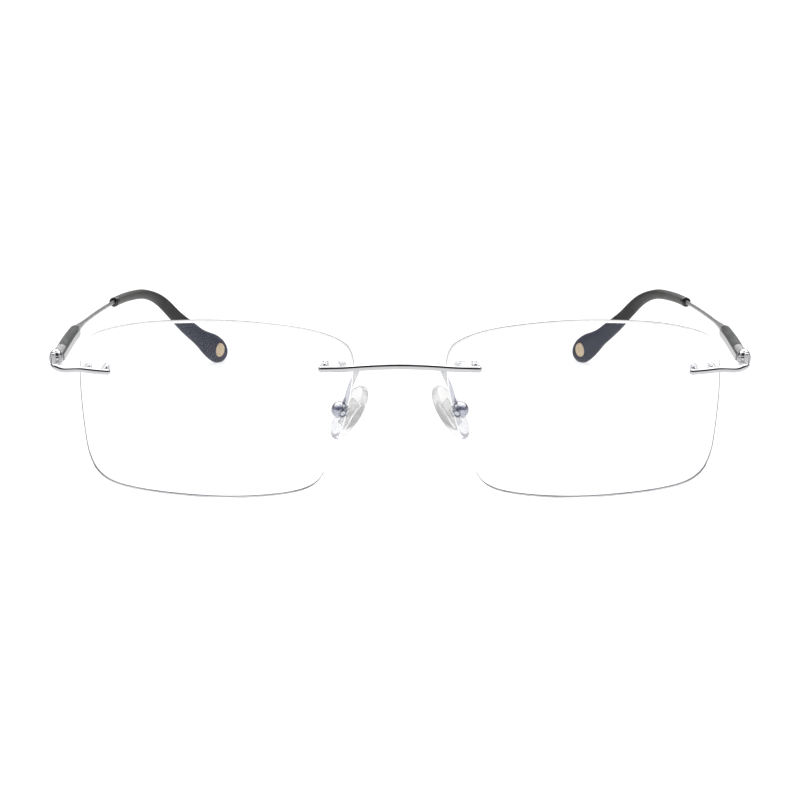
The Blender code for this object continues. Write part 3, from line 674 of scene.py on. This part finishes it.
def lens_glass():
    """Its coating lays a thin bluish veil over whatever is seen through it."""
    made = Surface(
        "lens_glass", Transmission_Weight=1.0, IOR=1.5, Specular_Tint=(0.01, 0.012, 0.02, 1.0),
        Sheen_Weight=0.25, Sheen_Roughness=0.8, Sheen_Tint=(0.39, 0.42, 0.70, 1.0),
    )
    made.colour(made.grain(0.02), (0.985, 0.99, 0.99), (0.998, 1.0, 1.0))
    made.roughness(made.grain(0.01), 0.0, 0.006)
    made.lets_lamps_through(0.98)
    return made.material


def lens_edge_shade():
    """A painted shade: the grey line along the lens's edge, where the clear edge looks dark."""
    made = Surface("lens_edge_shade", Specular_IOR_Level=0.3)
    made.colour(made.grain(0.014, detail=2.0), (0.14, 0.14, 0.13), (0.46, 0.46, 0.45), 0.35, 0.65)
    made.roughness(made.grain(0.0008), 0.30, 0.45)
    made.lets_lamps_through(0.95)
    return made.material


def lens_rim():
    """The ground edge of the lens: clear, but whitened by its fine grinding marks."""
    made = Surface("lens_rim", Transmission_Weight=0.15, IOR=1.5)
    made.colour(made.grain(0.0025), (0.96, 0.96, 0.955), (0.995, 0.995, 0.99))
    made.roughness(made.grain(0.0008), 0.25, 0.40)
    made.bump(made.grain(0.0003, detail=4.0), 0.000004)
    made.lets_lamps_through(0.95)
    return made.material


def clear_plastic():
    made = Surface("clear_plastic", Transmission_Weight=1.0, IOR=1.34)
    made.colour(made.grain(0.001), (0.94, 0.945, 0.95), (0.985, 0.99, 0.99))
    made.roughness(made.grain(0.0006), 0.02, 0.07)
    made.bump(made.grain(0.0005), 0.000006)
    made.lets_lamps_through(0.95)
    return made.material


def silicone():
    made = Surface("silicone", Transmission_Weight=0.75, IOR=1.41)
    made.colour(made.grain(0.003, detail=4.0), (0.93, 0.93, 0.92), (0.985, 0.985, 0.98))
    made.roughness(made.grain(0.0015), 0.08, 0.18)
    made.bump(made.grain(0.0012, detail=4.0), 0.00002)
    made.lets_lamps_through(0.95)
    return made.material


MATERIALS = {
    build.__name__: build()
    for build in (
        polished_metal, drawn_metal, box_metal, satin_metal, screw_metal, sleeve_grey, ring_black,
        tip_grey, inlay_beige, lens_glass, lens_rim, lens_edge_shade, clear_plastic, silicone,
    )
}


def pick(*names):
    return [MATERIALS[name] for name in names]


# -------------------------------- lens

FRONT_UP = Vector((0, -math.sin(PANTOSCOPIC_TILT), math.cos(PANTOSCOPIC_TILT)))
FRONT_BACK = Vector((0, math.cos(PANTOSCOPIC_TILT), math.sin(PANTOSCOPIC_TILT)))
LENS_OUT = Vector((-1, 0, 0)) * math.cos(LENS_WRAP) + FRONT_BACK * math.sin(LENS_WRAP)
LENS_BACK = FRONT_BACK * math.cos(LENS_WRAP) + Vector((1, 0, 0)) * math.sin(LENS_WRAP)
LENS_CENTRE = Vector((-LENS_CENTRE_X, 0, 0)) + FRONT_BACK * LENS_CENTRE_Y


def lens_point(out, up, depth=0.0):
    """A point over the lens: outward, upward, and behind its front surface."""
    sag = LENS_CURVE_RADIUS - math.sqrt(LENS_CURVE_RADIUS ** 2 - out ** 2 - up ** 2)
    return LENS_CENTRE + LENS_OUT * out + FRONT_UP * up + LENS_BACK * (sag + depth)


def hole_frames(holes, height):
    """Where a pair of pins goes through the lens: z is backwards, along the lens's own axis."""
    up = LENS_BACK.cross(LENS_OUT)
    return [placed(lens_point(out, height), LENS_OUT, up, LENS_BACK) for out in holes]


def seat_depths(frames):
    """How far behind each frame a plug's bar rests, clear of the lens at both holes."""
    depths = [place.translation.dot(LENS_BACK) for place in frames]
    return [max(depths) - depth + LENS_THICKNESS + PLUG_GAP for depth in depths]


def inset(outline, amount):
    """The closed outline moved inwards, square to itself."""
    moved = []
    for i, point in enumerate(outline):
        along = outline[(i + 1) % len(outline)] - outline[i - 1]
        inward = Vector((along.y, -along.x)).normalized()
        if inward.dot(point) > 0:
            inward = -inward
        moved.append(point + inward * amount)
    return moved


def lens_mesh():
    """Front face, chamfer, rim, chamfer and back face, as one skin."""
    edge = [p.to_2d() for p in spline([(*xy, 0) for xy in LENS_OUTLINE], LENS_STEPS, True)]
    face = inset(edge, LENS_CHAMFER)
    reaches = [(ring + 1) / LENS_RINGS for ring in range(LENS_RINGS)]
    rings = [[lens_point(*(p * reach)) for p in face] for reach in reaches]
    for depth in (LENS_CHAMFER, LENS_THICKNESS - LENS_SHADE_LINE, LENS_THICKNESS - LENS_CHAMFER):
        rings.append([lens_point(*p, depth) for p in edge])
    for reach in reversed(reaches):
        rings.append([lens_point(*(p * reach), LENS_THICKNESS) for p in face])
    mesh = bmesh.new()
    loops = skin(mesh, rings, False, False)
    for loop, depth in ((loops[0], 0.0), (loops[-1], LENS_THICKNESS)):
        middle = mesh.verts.new(lens_point(0, 0, depth))
        for i in range(len(loop)):
            mesh.faces.new((middle, loop[i], loop[(i + 1) % len(loop)]))
    return mesh


def under_table():
    """What lies below the table, for the two feet that are worn flat on it."""
    return block(GLASSES.inverted(), (-0.2, -0.2, -0.02), (0.2, 0.2, 0.0))


def lens_material(face):
    """Glass on the two faces, ground rim on the edge, and the grey line of painted shade where the
    edge ends.
    """
    if abs(face.normal.dot(LENS_BACK)) > LENS_FACE_SQUARE:
        return 0
    place = face.calc_center_median() - LENS_CENTRE
    out, up = place.dot(LENS_OUT), place.dot(FRONT_UP)
    depth = (LENS_CENTRE + place - lens_point(out, up)).dot(LENS_BACK)
    if depth > LENS_THICKNESS - LENS_SHADE_LINE:
        return 2
    if depth < LENS_CHAMFER:
        return 2 if up < LENS_FRONT_SHADE_BELOW else 0
    return 1


def make_lens(side):
    steps = [("DIFFERENCE", under_table())]
    for holes, height in (
        (BRIDGE_HOLES, BRIDGE_HOLE_HEIGHT), (ENDPIECE_HOLES, ENDPIECE_HOLE_HEIGHT),
    ):
        for place in hole_frames(holes, height):
            drill = cylinder(place, LENS_HOLE_RADIUS, -DRILL_PAST, LENS_THICKNESS + DRILL_PAST)
            steps.append(("DIFFERENCE", drill))
    side.show(
        "lens", combined(lens_mesh(), *steps), "front", "lens",
        pick("lens_glass", "lens_rim", "lens_edge_shade"), choose=lens_material,
    )


# -------------------------------- bridge, endpieces and plugs

def pin_mesh(place, seat):
    """A pin from inside the wire, through lens and plug, with a shallow groove near its end."""
    end = seat + PLUG_BAR[1]
    profile = [(PIN_RADIUS, -WIRE_STAND_OFF - WIRE_RADIUS)]
    profile += [(PIN_RADIUS * wide, end * share) for wide, share in PIN_PROFILE]
    return turned(profile, place, PIN_SIDES)


def plug_bar(frames, seat):
    """The bar behind the lens that carries both tubes of a plug."""
    width, depth = PLUG_BAR
    first, second = frames
    reach = (second.translation - first.translation).dot(LENS_OUT)
    outline = [*arc(reach, 0, width / 2, -90, 90, 12), *arc(0, 0, width / 2, 90, 270, 12)]
    return prism(first, outline, seat, seat + depth, PLUG_BAR_EDGE)


def make_plug(side, name, holes, height):
    frames = hole_frames(holes, height)
    seats = seat_depths(frames)
    steps = []
    for place, seat in zip(frames, seats):
        back = seat + PLUG_BAR[1]
        head_radius, head_height = PLUG_HEAD
        profile = (
            (PLUG_RADIUS - PLUG_EDGE, PLUG_MOUTH), (PLUG_RADIUS, PLUG_MOUTH + PLUG_EDGE),
            (PLUG_RADIUS, back), (head_radius, back + head_height * 0.6),
            (head_radius * 0.8, back + head_height),
        )
        steps.append(("UNION", turned(profile, place, PLUG_SIDES)))
    for place in frames:
        steps.append(("DIFFERENCE", cylinder(place, PLUG_BORE_RADIUS, -1, 6, PIN_SIDES)))
    mesh = combined(plug_bar(frames, seats[0]), *steps)
    side.show(name, mesh, "front", "clear_plug", pick("clear_plastic"))


def wire(path, radius, end=True):
    """A round wire with a domed nose at its start and, unless that is joined on, at its end."""
    noses = [(math.sin(math.radians(a)), math.cos(math.radians(a))) for a in NOSE_ANGLES]
    out = (path[0] - path[1]).normalized() * radius * NOSE_LENGTH
    points = [*(path[0] + out * ahead for ahead, _ in noses), *path]
    radii = [*(radius * wide for _, wide in noses), *[radius] * len(path)]
    if end:
        out = (path[-1] - path[-2]).normalized() * radius * NOSE_LENGTH
        points += [path[-1] + out * ahead for ahead, _ in reversed(noses)]
        radii += [radius * wide for _, wide in reversed(noses)]
    return solid_along(points, [circle(r) for r in radii])


def bridge_path():
    depth = -(WIRE_STAND_OFF + WIRE_RADIUS)
    inner, outer = BRIDGE_HOLES
    left = [
        lens_point(outer + BRIDGE_OVERHANG - WIRE_RADIUS, BRIDGE_HOLE_HEIGHT, depth),
        lens_point((inner + outer) / 2, BRIDGE_HOLE_HEIGHT, depth),
        lens_point(inner - BRIDGE_LEAVES_LENS, BRIDGE_HOLE_HEIGHT, depth),
        Vector(BRIDGE_SHOULDER),
    ]
    right = [Vector((-p.x, p.y, p.z)) for p in reversed(left)]
    return spline([*left, BRIDGE_CENTRE, *right], FINE_STEPS)


def make_bridge():
    steps = []
    for mirrored in (False, True):
        frames = hole_frames(BRIDGE_HOLES, BRIDGE_HOLE_HEIGHT)
        for place, seat in zip(frames, seat_depths(frames)):
            pin = pin_mesh(place, seat)
            if mirrored:
                bmesh.ops.transform(pin, matrix=MIRROR, verts=pin.verts)
            steps.append(("UNION", pin))
    mesh = combined(wire(bridge_path(), WIRE_RADIUS), *steps)
    Side("", False).show("bridge", mesh, "front", "silver", pick("polished_metal"))


def egg_radius(height):
    """The three knuckles and the screw's head form one egg shape about the hinge's centre."""
    return KNUCKLE_RADIUS * math.sqrt(1 - (height / EGG_HALF_HEIGHT) ** 2)


def ball_slice(low, high):
    """The profile of one knuckle, with its two edges eased."""
    heights = [low + (high - low) * i / EGG_STEPS for i in range(EGG_STEPS + 1)]
    profile = [(egg_radius(height), height) for height in heights]
    return [
        (profile[0][0] - KNUCKLE_EDGE, low), (profile[0][0], low + KNUCKLE_EDGE), *profile[1:-1],
        (profile[-1][0], high - KNUCKLE_EDGE), (profile[-1][0] - KNUCKLE_EDGE, high),
    ]


def endpiece_path():
    depth = -(WIRE_STAND_OFF + ENDPIECE_RADIUS)
    inner, outer = ENDPIECE_HOLES
    leave_out, leave_up = ENDPIECE_LEAVES_LENS
    height = ENDPIECE_HOLE_HEIGHT
    return spline(
        (
            lens_point(inner - ENDPIECE_OVERHANG, height, depth),
            lens_point((inner + outer) / 2, height, depth),
            lens_point(outer + leave_out, height + leave_up, depth),
            *(HINGE + Vector(offset) for offset in ENDPIECE_ELBOW),
        ),
        FINE_STEPS,
    )


def make_endpiece(side):
    steps = []
    frames = hole_frames(ENDPIECE_HOLES, ENDPIECE_HOLE_HEIGHT)
    for place, seat in zip(frames, seat_depths(frames)):
        steps.append(("UNION", pin_mesh(place, seat)))
    height = HINGE_HALF_HEIGHT
    reach = height - WEB_INSET
    web = barrel_profile(WEB_RADIUS, -reach, reach, WEB_EDGE)
    steps.append(("UNION", turned(web, Matrix.Translation(HINGE + Vector(WEB)))))
    upright = Matrix.Translation(HINGE)
    gap = MIDDLE_KNUCKLE + KNUCKLE_GAP
    for low, high in ((-height, -gap), (gap, height)):
        arm = block(
            upright, (*ARM_LOW, low + ARM_INSET), (*ARM_HIGH, high - ARM_INSET), ARM_EDGE
        )
        steps += [("UNION", arm), ("UNION", turned(ball_slice(low, high), upright))]
    steps.append(("DIFFERENCE", cylinder(upright, KNUCKLE_BORE, -height - 1, height + 1)))
    mesh = combined(wire(endpiece_path(), ENDPIECE_RADIUS, end=False), *steps)
    side.show("endpiece", mesh, "front", "silver", pick("polished_metal"))


def slotted_screw(place, shank, head, low, slot_width, slot_depth):
    """A screw along z: a shank up to the head's lowest point, and a driver slot in the head."""
    high, top = head[0][1], head[-1][1]
    narrow, taper = SCREW_TAPER
    profile = [(shank * narrow, low), (shank, low + taper), (shank, high), *head]
    half = slot_width / 2
    cutter = block(place, (-half, -2, top - slot_depth), (half, 2, top + 1))
    return combined(turned(profile, place), ("DIFFERENCE", cutter))


def make_hinge_screw(side):
    """Its head is the cap of the egg shape that the knuckles form."""
    high = HINGE_HALF_HEIGHT + FIT
    head = [(egg_radius(high) - KNUCKLE_EDGE, high)]
    for i in range(1, EGG_STEPS + 1):
        height = high + SCREW_HEAD_HEIGHT * i / EGG_STEPS
        head.append((egg_radius(height), height))
    low = -HINGE_HALF_HEIGHT + SCREW_FOOT
    mesh = slotted_screw(Matrix.Translation(HINGE), SCREW_RADIUS, head, low, *SCREW_SLOT)
    side.show("hinge_screw", mesh, "front", "steel", pick("polished_metal"))


# -------------------------------- temple

def temple_curve(start, end, steps=FINE_STEPS):
    """The stretch of the temple's centre line between two distances behind the lenses."""
    curve = spline(TEMPLE_PATH, steps)
    inside = [p for p in curve if start + 0.15 < p.y < end - 0.15]
    return [crossing(curve, 1, start), *inside, crossing(curve, 1, end)]


def flat_sided(radius, flat):
    """A circle with a flat on the side that faces the head."""
    return [(min(x, flat), y) for x, y in circle(radius)]


def make_hinge_leaf(side):
    """The temple's knuckle, its neck, and the long strip along the inner face of the barrel."""
    path = temple_curve(*STRIP_SPAN)
    inner = BARREL_FLAT + FIT
    outer = inner + STRIP_THICKNESS
    tall = STRIP_HALF_HEIGHT
    corner, ease = STRIP_EASE
    section = [
        (inner, -tall), (outer - corner, -tall), (outer - corner * 0.3, -tall + corner * 0.4),
        (outer, -tall + ease), (outer, tall - ease), (outer - corner * 0.3, tall - corner * 0.4),
        (outer - corner, tall), (inner, tall),
    ]
    sections = [section] * (len(path) - 1)
    sections += [[(u, v * share) for u, v in section] for _, share in STRIP_END]
    path = [*path[:-1], *(path[-1].lerp(path[-2], back) for back, _ in STRIP_END)]
    upright = Matrix.Translation(HINGE)
    knuckle = ball_slice(-MIDDLE_KNUCKLE, MIDDLE_KNUCKLE)
    mesh = combined(
        solid_along(path, sections),
        ("UNION", block(upright, *NECK, NECK_EDGE)),
        ("UNION", block(upright, *STRIP_ROOT, NECK_EDGE)),
        ("UNION", turned(knuckle, upright)),
        ("DIFFERENCE", cylinder(upright, KNUCKLE_BORE, -3, 3)),
    )
    side.show("hinge_leaf", mesh, "temple", "silver", pick("polished_metal"))


def ease_ends(sections, start, end):
    """Scales the first and the last sections, each list from its end of the tube inwards."""
    places = [*enumerate(start), *((-1 - i, share) for i, share in enumerate(end))]
    for i, share in places:
        sections[i] = [(u * share, v * share) for u, v in sections[i]]


def close_to_ends(path, gaps):
    """Adds points at those small distances from both ends of the path."""
    first, last = path[0], path[-1]
    ahead, behind = (path[1] - first).normalized(), (path[-2] - last).normalized()
    return [
        first, *[first + ahead * g for g in gaps], *path[1:-1],
        *[last + behind * g for g in reversed(gaps)], last,
    ]


def make_barrel(side):
    """The silver collar and the grey sleeve, both threaded on the temple's core."""
    for node, span, gaps, start, end, slot, material in (
        ("collar", COLLAR_SPAN, COLLAR_GAPS, COLLAR_ENDS, COLLAR_ENDS, "silver", "satin_metal"),
        (
            "sleeve", SLEEVE_SPAN, SLEEVE_GAPS, SLEEVE_START, SLEEVE_END, "grey_sleeve",
            "sleeve_grey",
        ),
    ):
        path = close_to_ends(temple_curve(*span), gaps)
        outer = [flat_sided(BARREL_RADIUS, BARREL_FLAT) for _ in path]
        ease_ends(outer, start, end)
        mesh = hollow_along(path, outer, [circle(BARREL_BORE) for _ in path])
        side.show(f"temple_{node}", mesh, "temple", slot, pick(material))


def eased(value, start, end):
    """From 0 at the start to 1 at the end and after, with a soft start and finish."""
    t = min((value - start) / (end - start), 1.0)
    return t * t * (3 - 2 * t)


def rod_radius(depth):
    """The rod is a core inside the barrel, swells to a cone behind it, and thins to the tip."""
    return CONE_RADIUS + (ROD_RADIUS - CONE_RADIUS) * eased(depth, *CONE_SPAN)


def make_temple_rod(side):
    core = temple_curve(COLLAR_SPAN[0] + ROD_INSET, CONE_SPAN[0] - 0.05, 4)
    rest = temple_curve(CONE_SPAN[0], TIP_BORE_END - ROD_INSET, 12)
    radii = [CORE_RADIUS] * len(core) + [rod_radius(p.y) for p in rest]
    mesh = solid_along([*core, *rest], [circle(radius) for radius in radii])
    side.show("temple_rod", mesh, "temple", "silver", pick("drawn_metal"))


def make_tip_ring(side):
    """A black bead between the rod and the tip, with a groove round its middle."""
    start, end = RING_SPAN
    curve = temple_curve(start - 1, end + 1, 40)
    path = [crossing(curve, 1, start + (end - start) * share) for share, _ in RING_PROFILE]
    outer = [circle(RING_RADIUS * wide) for _, wide in RING_PROFILE]
    mesh = hollow_along(path, outer, [circle(TIP_BORE) for _ in path])
    side.show("tip_ring", mesh, "temple", "black_ring", pick("ring_black"))


def tip_section(reach):
    """Half thickness and half height of the tip, from its mouth (0) to its end (1)."""
    for (start, thin, low), (end, thick, high) in zip(TIP_PROFILE, TIP_PROFILE[1:]):
        if reach <= end:
            break
    ease = eased(reach, start, end)
    mouth_size, mouth_end = TIP_MOUTH
    mouth = mouth_size + (1 - mouth_size) * min(1.0, reach / mouth_end)
    tall, wide = (
        mouth * math.sqrt(1 - (max(0.0, (reach - start) / (1 - start)) * TIP_END_CLOSES) ** 2)
        for start in TIP_END_START
    )
    return (thin + (thick - thin) * ease) * wide, (low + (high - low) * ease) * tall


def tip_shape():
    """The tip's path and sections, with closer stations at its mouth and round its end."""
    path = temple_curve(TIP_START, TEMPLE_PATH[-1][1])
    near, far = path[0], path[-1]
    span = far - path[-4]
    path = [near, near.lerp(path[1], 0.1), near.lerp(path[1], 0.25), *path[1:-3]]
    path += [far - span * (1 - t) for t in TIP_END_STEPS]
    travelled = [0.0]
    for before, after in zip(path, path[1:]):
        travelled.append(travelled[-1] + (after - before).length)
    sizes = [tip_section(way / travelled[-1]) for way in travelled]
    sections = [[(u * thick, v * tall) for u, v in circle(1.0, TIP_SIDES)] for thick, tall in sizes]
    return path, sections


def inlay_frame():
    """On the inner face of the tip, near its end: z points out of the face, y along the tip."""
    end = Vector(TEMPLE_PATH[-1])
    curve = spline(TEMPLE_PATH, 3)
    along = (end - curve[-2]).normalized()
    inward = along.cross(UP).normalized()
    centre = end - along * INLAY_FROM_END
    return placed(centre + inward * INLAY_FACE, along.cross(inward), along, inward)


def make_temple_tip(side):
    path, sections = tip_shape()
    bore_path = temple_curve(TIP_START, TIP_BORE_END)
    bore = [circle(TIP_BORE, TIP_SIDES) for _ in bore_path]
    place = inlay_frame()
    recess = cylinder(place, INLAY_RADIUS + FIT, -INLAY_DEPTH - FIT, 1.0, INLAY_SIDES)
    mesh = combined(
        hollow_along(path, sections, bore, inner_path=bore_path),
        ("DIFFERENCE", recess), ("DIFFERENCE", under_table()),
    )
    side.show("temple_tip", mesh, "temple", "tip", pick("tip_grey"))
    disc = [(INLAY_RADIUS * share - less, height) for share, less, height in INLAY_PROFILE]
    mesh = turned(disc, place, INLAY_SIDES)
    side.show("tip_inlay", mesh, "temple", "inlay", pick("inlay_beige"), smooth=50.0)


# -------------------------------- nose pads

def pad_frame():
    """Centred on the pad box: x runs back along the screw, y up the pad, z towards the pad."""
    back = -PAD_SCREW_AXIS.normalized()
    outward = (PAD_OUTWARD - back * PAD_OUTWARD.dot(back)).normalized()
    return placed(PAD_BOX, back, outward.cross(back), outward)


def screw_frame():
    """Centred on the pad box: z runs out of the screw's head."""
    back, along, outward = (pad_frame().col[i].to_3d() for i in range(3))
    return placed(PAD_BOX, along, -outward, -back)


def make_pad_arm(side):
    """Round at the bridge, pressed flat along its middle, and round again at the box."""
    along = pad_frame().col[1].to_3d()
    end = PAD_BOX + along * (PAD_BOX_RADIUS + FIT)
    root = crossing(bridge_path(), 0, PAD_ARM_ROOT_X) + Vector((0, WIRE_RADIUS + FIT, 0))
    path = spline([root, root + Vector((0, 0.9, 0.1)), *PAD_ARM_PATH, end + along, end], FINE_STEPS)
    flatter, power = PAD_ARM_FLAT
    sections = []
    for i in range(len(path)):
        flat = 1 - flatter * math.sin(math.pi * i / (len(path) - 1)) ** power
        sections.append([(u * flat, v) for u, v in circle(PAD_ARM_RADIUS, PAD_ARM_SIDES)])
    mesh = solid_along(path, sections, Vector((1, 0, 0)))
    side.show("pad_arm", mesh, "front", "silver", pick("drawn_metal"))


def make_pad_box(side):
    place = screw_frame()
    profile = arc(0, 0, PAD_BOX_RADIUS, -PAD_BOX_POLE, PAD_BOX_POLE, 24)
    low, high = PAD_SLOT
    slot = block(pad_frame(), (-PAD_SLOT_HALF, *low), (PAD_SLOT_HALF, *high), PAD_SLOT_EDGE)
    seat_radius, seat_depth = PAD_SCREW_SEAT
    mesh = combined(
        turned(profile, place, 48),
        ("DIFFERENCE", slot),
        ("DIFFERENCE", cylinder(place, PAD_PIN_BORE, -3, 3)),
        ("DIFFERENCE", cylinder(place, seat_radius, seat_depth, 3)),
    )
    side.show("pad_box", mesh, "front", "silver", pick("box_metal"))


def make_pad_screw(side):
    wide, tall = PAD_SCREW_HEAD
    low, high = PAD_SCREW_SPAN
    head = [(wide * share, high + tall * rise) for share, rise in PAD_SCREW_CROWN]
    slot_width, slot_share = PAD_SCREW_SLOT
    mesh = slotted_screw(screw_frame(), PAD_PIN, head, low, slot_width, tall * slot_share)
    side.show("pad_screw", mesh, "front", "steel", pick("screw_metal"))


def make_pad_insert(side):
    """The lug that turns on the screw and the plate that the pad is moulded over."""
    place = pad_frame()
    thick, tall = PAD_LUG_HALF
    outline = [(-LUG_ROOT, -tall), (-LUG_ROOT, tall), *arc(0, 0, tall, 90, -90, 16)]
    back, along, outward = (place.col[i].to_3d() for i in range(3))
    lug = prism(placed(PAD_BOX, -outward, along, back), outline, -thick, thick, PAD_LUG_EDGE)
    x, y, z = PAD_PLATE
    low = PAD_BACK + PAD_PLATE_DEPTH
    plate = block(place, (-x, -y, low), (x, y, low + z), PAD_PLATE_EDGE)
    bore = cylinder(screw_frame(), PAD_PIN_BORE, -2, 2)
    mesh = combined(lug, ("UNION", plate), ("DIFFERENCE", bore))
    side.show("pad_insert", mesh, "pad", "clear_plug", pick("clear_plastic"))


def make_nose_pad(side):
    """A soft clear pad: a flat back with a rounded edge, and a crowned face towards the nose."""
    place = pad_frame()
    half_x, half_y = PAD_HALF
    rings = []
    for reach, height, _ in spline([(*pair, 0) for pair in PAD_SECTIONS], 4):
        depth = PAD_BACK + height * PAD_THICKNESS
        rings.append(
            [place @ Vector((half_x * reach * x + PAD_SHIFT, half_y * reach * y, depth))
             for x, y in circle(1.0, PAD_SIDES)]
        )
    mesh = bmesh.new()
    skin(mesh, rings)
    x, y, z = (size + FIT for size in PAD_PLATE)
    low = PAD_BACK + PAD_PLATE_DEPTH
    pocket = block(place, (-x, -y, low - FIT), (x, y, low + z), PAD_PLATE_EDGE)
    thick, tall = (size + FIT for size in PAD_LUG_HALF)
    mouth = block(place, (-thick, -tall, 0.0), (thick, tall, low + 0.2))
    mesh = combined(mesh, ("DIFFERENCE", pocket), ("DIFFERENCE", mouth))
    side.show("nose_pad", mesh, "pad", "silicone", pick("silicone"))


# -------------------------------- floor, light and camera

FLOOR_RADIUS = 3.0
# Height of a direction (-1 down, 1 up) and the brightness there, in front and behind.
FRONT_BANDS = (
    (-1.0, 1.05), (-0.10, 1.0), (0.0, 0.75), (0.08, 0.35), (0.16, 0.02), (0.90, 0.02), (0.945, 3.0),
    (0.965, 3.0), (0.975, 0.2), (1.0, 0.2),
)
BACK_BANDS = (
    (-1.0, 1.08), (-0.55, 1.0), (-0.30, 0.80), (0.0, 0.60), (0.08, 0.20), (0.42, 0.06),
    (0.62, 2.6), (0.965, 3.2), (0.975, 0.2), (1.0, 0.2),
)
# From front (-1) to back (1): between these, one set of bands blends into the other.
BANDS_BLEND = (-0.5, 0.5)
FLOOR_GLOW = 0.74
# How bright the world looks to the camera itself.
SEEN_WORLD = 1.1
LAMP_PLACE = (0.0, 0.1, 1.2)
LAMP_SIZE = 0.9
LAMP_POWER = 1.0


def make_floor():
    mesh = bmesh.new()
    bmesh.ops.create_circle(mesh, cap_ends=True, radius=FLOOR_RADIUS, segments=96)
    floor = in_scene("floor", mesh_data("floor", mesh))
    made = Surface(
        "floor_white", Roughness=0.9, Specular_IOR_Level=0.0,
        Emission_Color=(1.0, 1.0, 1.0, 1.0), Emission_Strength=FLOOR_GLOW,
    )
    made.colour(made.grain(0.3), (0.43, 0.43, 0.43), (0.45, 0.45, 0.45))
    floor.data.materials.append(made.material)
    floor.visible_glossy = False


def ramp_of(tree, bands, peak):
    """A colour ramp over the height of a direction, as a share of the peak brightness."""
    ramp = add_node(tree, "ValToRGB")
    stops = ramp.color_ramp.elements
    while len(stops) < len(bands):
        stops.new(0.5)
    for stop, (height, level) in zip(stops, bands):
        stop.position = (height + 1) / 2
        stop.color = (level / peak, level / peak, level / peak, 1.0)
    return ramp


def make_world():
    """Bright above and dark over the horizon, which gives polished wire its dark line."""
    world = bpy.data.worlds.new("studio")
    bpy.context.scene.world = world
    world.use_nodes = True
    tree = world.node_tree
    links = tree.links
    peak = max(level for _, level in (*FRONT_BANDS, *BACK_BANDS))
    background = tree.nodes["Background"]
    background.inputs["Strength"].default_value = peak
    place = add_node(tree, "TexCoord")
    split = add_node(tree, "SeparateXYZ")
    links.new(place.outputs["Generated"], split.inputs["Vector"])
    height = add_node(tree, "MapRange", From_Min=-1.0)
    links.new(split.outputs["Z"], height.inputs["Value"])
    front, back = BANDS_BLEND
    behind = add_node(tree, "MapRange", From_Min=front, From_Max=back)
    links.new(split.outputs["Y"], behind.inputs["Value"])
    blend = add_node(tree, "Mix")
    blend.data_type = "RGBA"
    links.new(behind.outputs["Result"], blend.inputs["Factor"])
    for bands, socket in ((FRONT_BANDS, 6), (BACK_BANDS, 7)):
        ramp = ramp_of(tree, bands, peak)
        links.new(height.outputs["Result"], ramp.inputs["Fac"])
        links.new(ramp.outputs["Color"], blend.inputs[socket])
    links.new(blend.outputs[2], background.inputs["Color"])
    seen = add_node(tree, "Background", Color=(1.0, 1.0, 1.0, 1.0), Strength=SEEN_WORLD)
    path = add_node(tree, "LightPath")
    mix = add_node(tree, "MixShader")
    links.new(path.outputs["Is Camera Ray"], mix.inputs["Fac"])
    links.new(background.outputs["Background"], mix.inputs[1])
    links.new(seen.outputs["Background"], mix.inputs[2])
    links.new(mix.outputs["Shader"], tree.nodes["World Output"].inputs["Surface"])


def make_lamp():
    """A faint disk overhead, aimed at the glasses."""
    data = bpy.data.lights.new("overhead", "AREA")
    data.shape = "DISK"
    data.size = LAMP_SIZE
    data.energy = LAMP_POWER
    lamp = in_scene("overhead", data)
    lamp.location = LAMP_PLACE
    lamp.rotation_euler = (-Vector(LAMP_PLACE)).to_track_quat("-Z", "Y").to_euler()


def make_camera():
    data = bpy.data.cameras.new("camera")
    data.sensor_width = SENSOR
    data.lens = CAMERA_LENS
    camera = in_scene("camera", data)
    camera.location = CAMERA_PLACE
    camera.rotation_euler = (CAMERA_AIM - CAMERA_PLACE).to_track_quat("-Z", "Y").to_euler()
    bpy.context.scene.camera = camera


def main():
    bpy.context.scene.view_settings.view_transform = "Standard"
    make_bridge()
    for side in (Side("left", False), Side("right", True)):
        make_lens(side)
        make_plug(side, "bridge_plug", BRIDGE_HOLES, BRIDGE_HOLE_HEIGHT)
        make_plug(side, "endpiece_plug", ENDPIECE_HOLES, ENDPIECE_HOLE_HEIGHT)
        make_endpiece(side)
        make_hinge_screw(side)
        make_hinge_leaf(side)
        make_barrel(side)
        make_temple_rod(side)
        make_tip_ring(side)
        make_temple_tip(side)
        make_pad_arm(side)
        make_pad_box(side)
        make_pad_screw(side)
        make_pad_insert(side)
        make_nose_pad(side)
    make_floor()
    make_world()
    make_lamp()
    make_camera()


main()
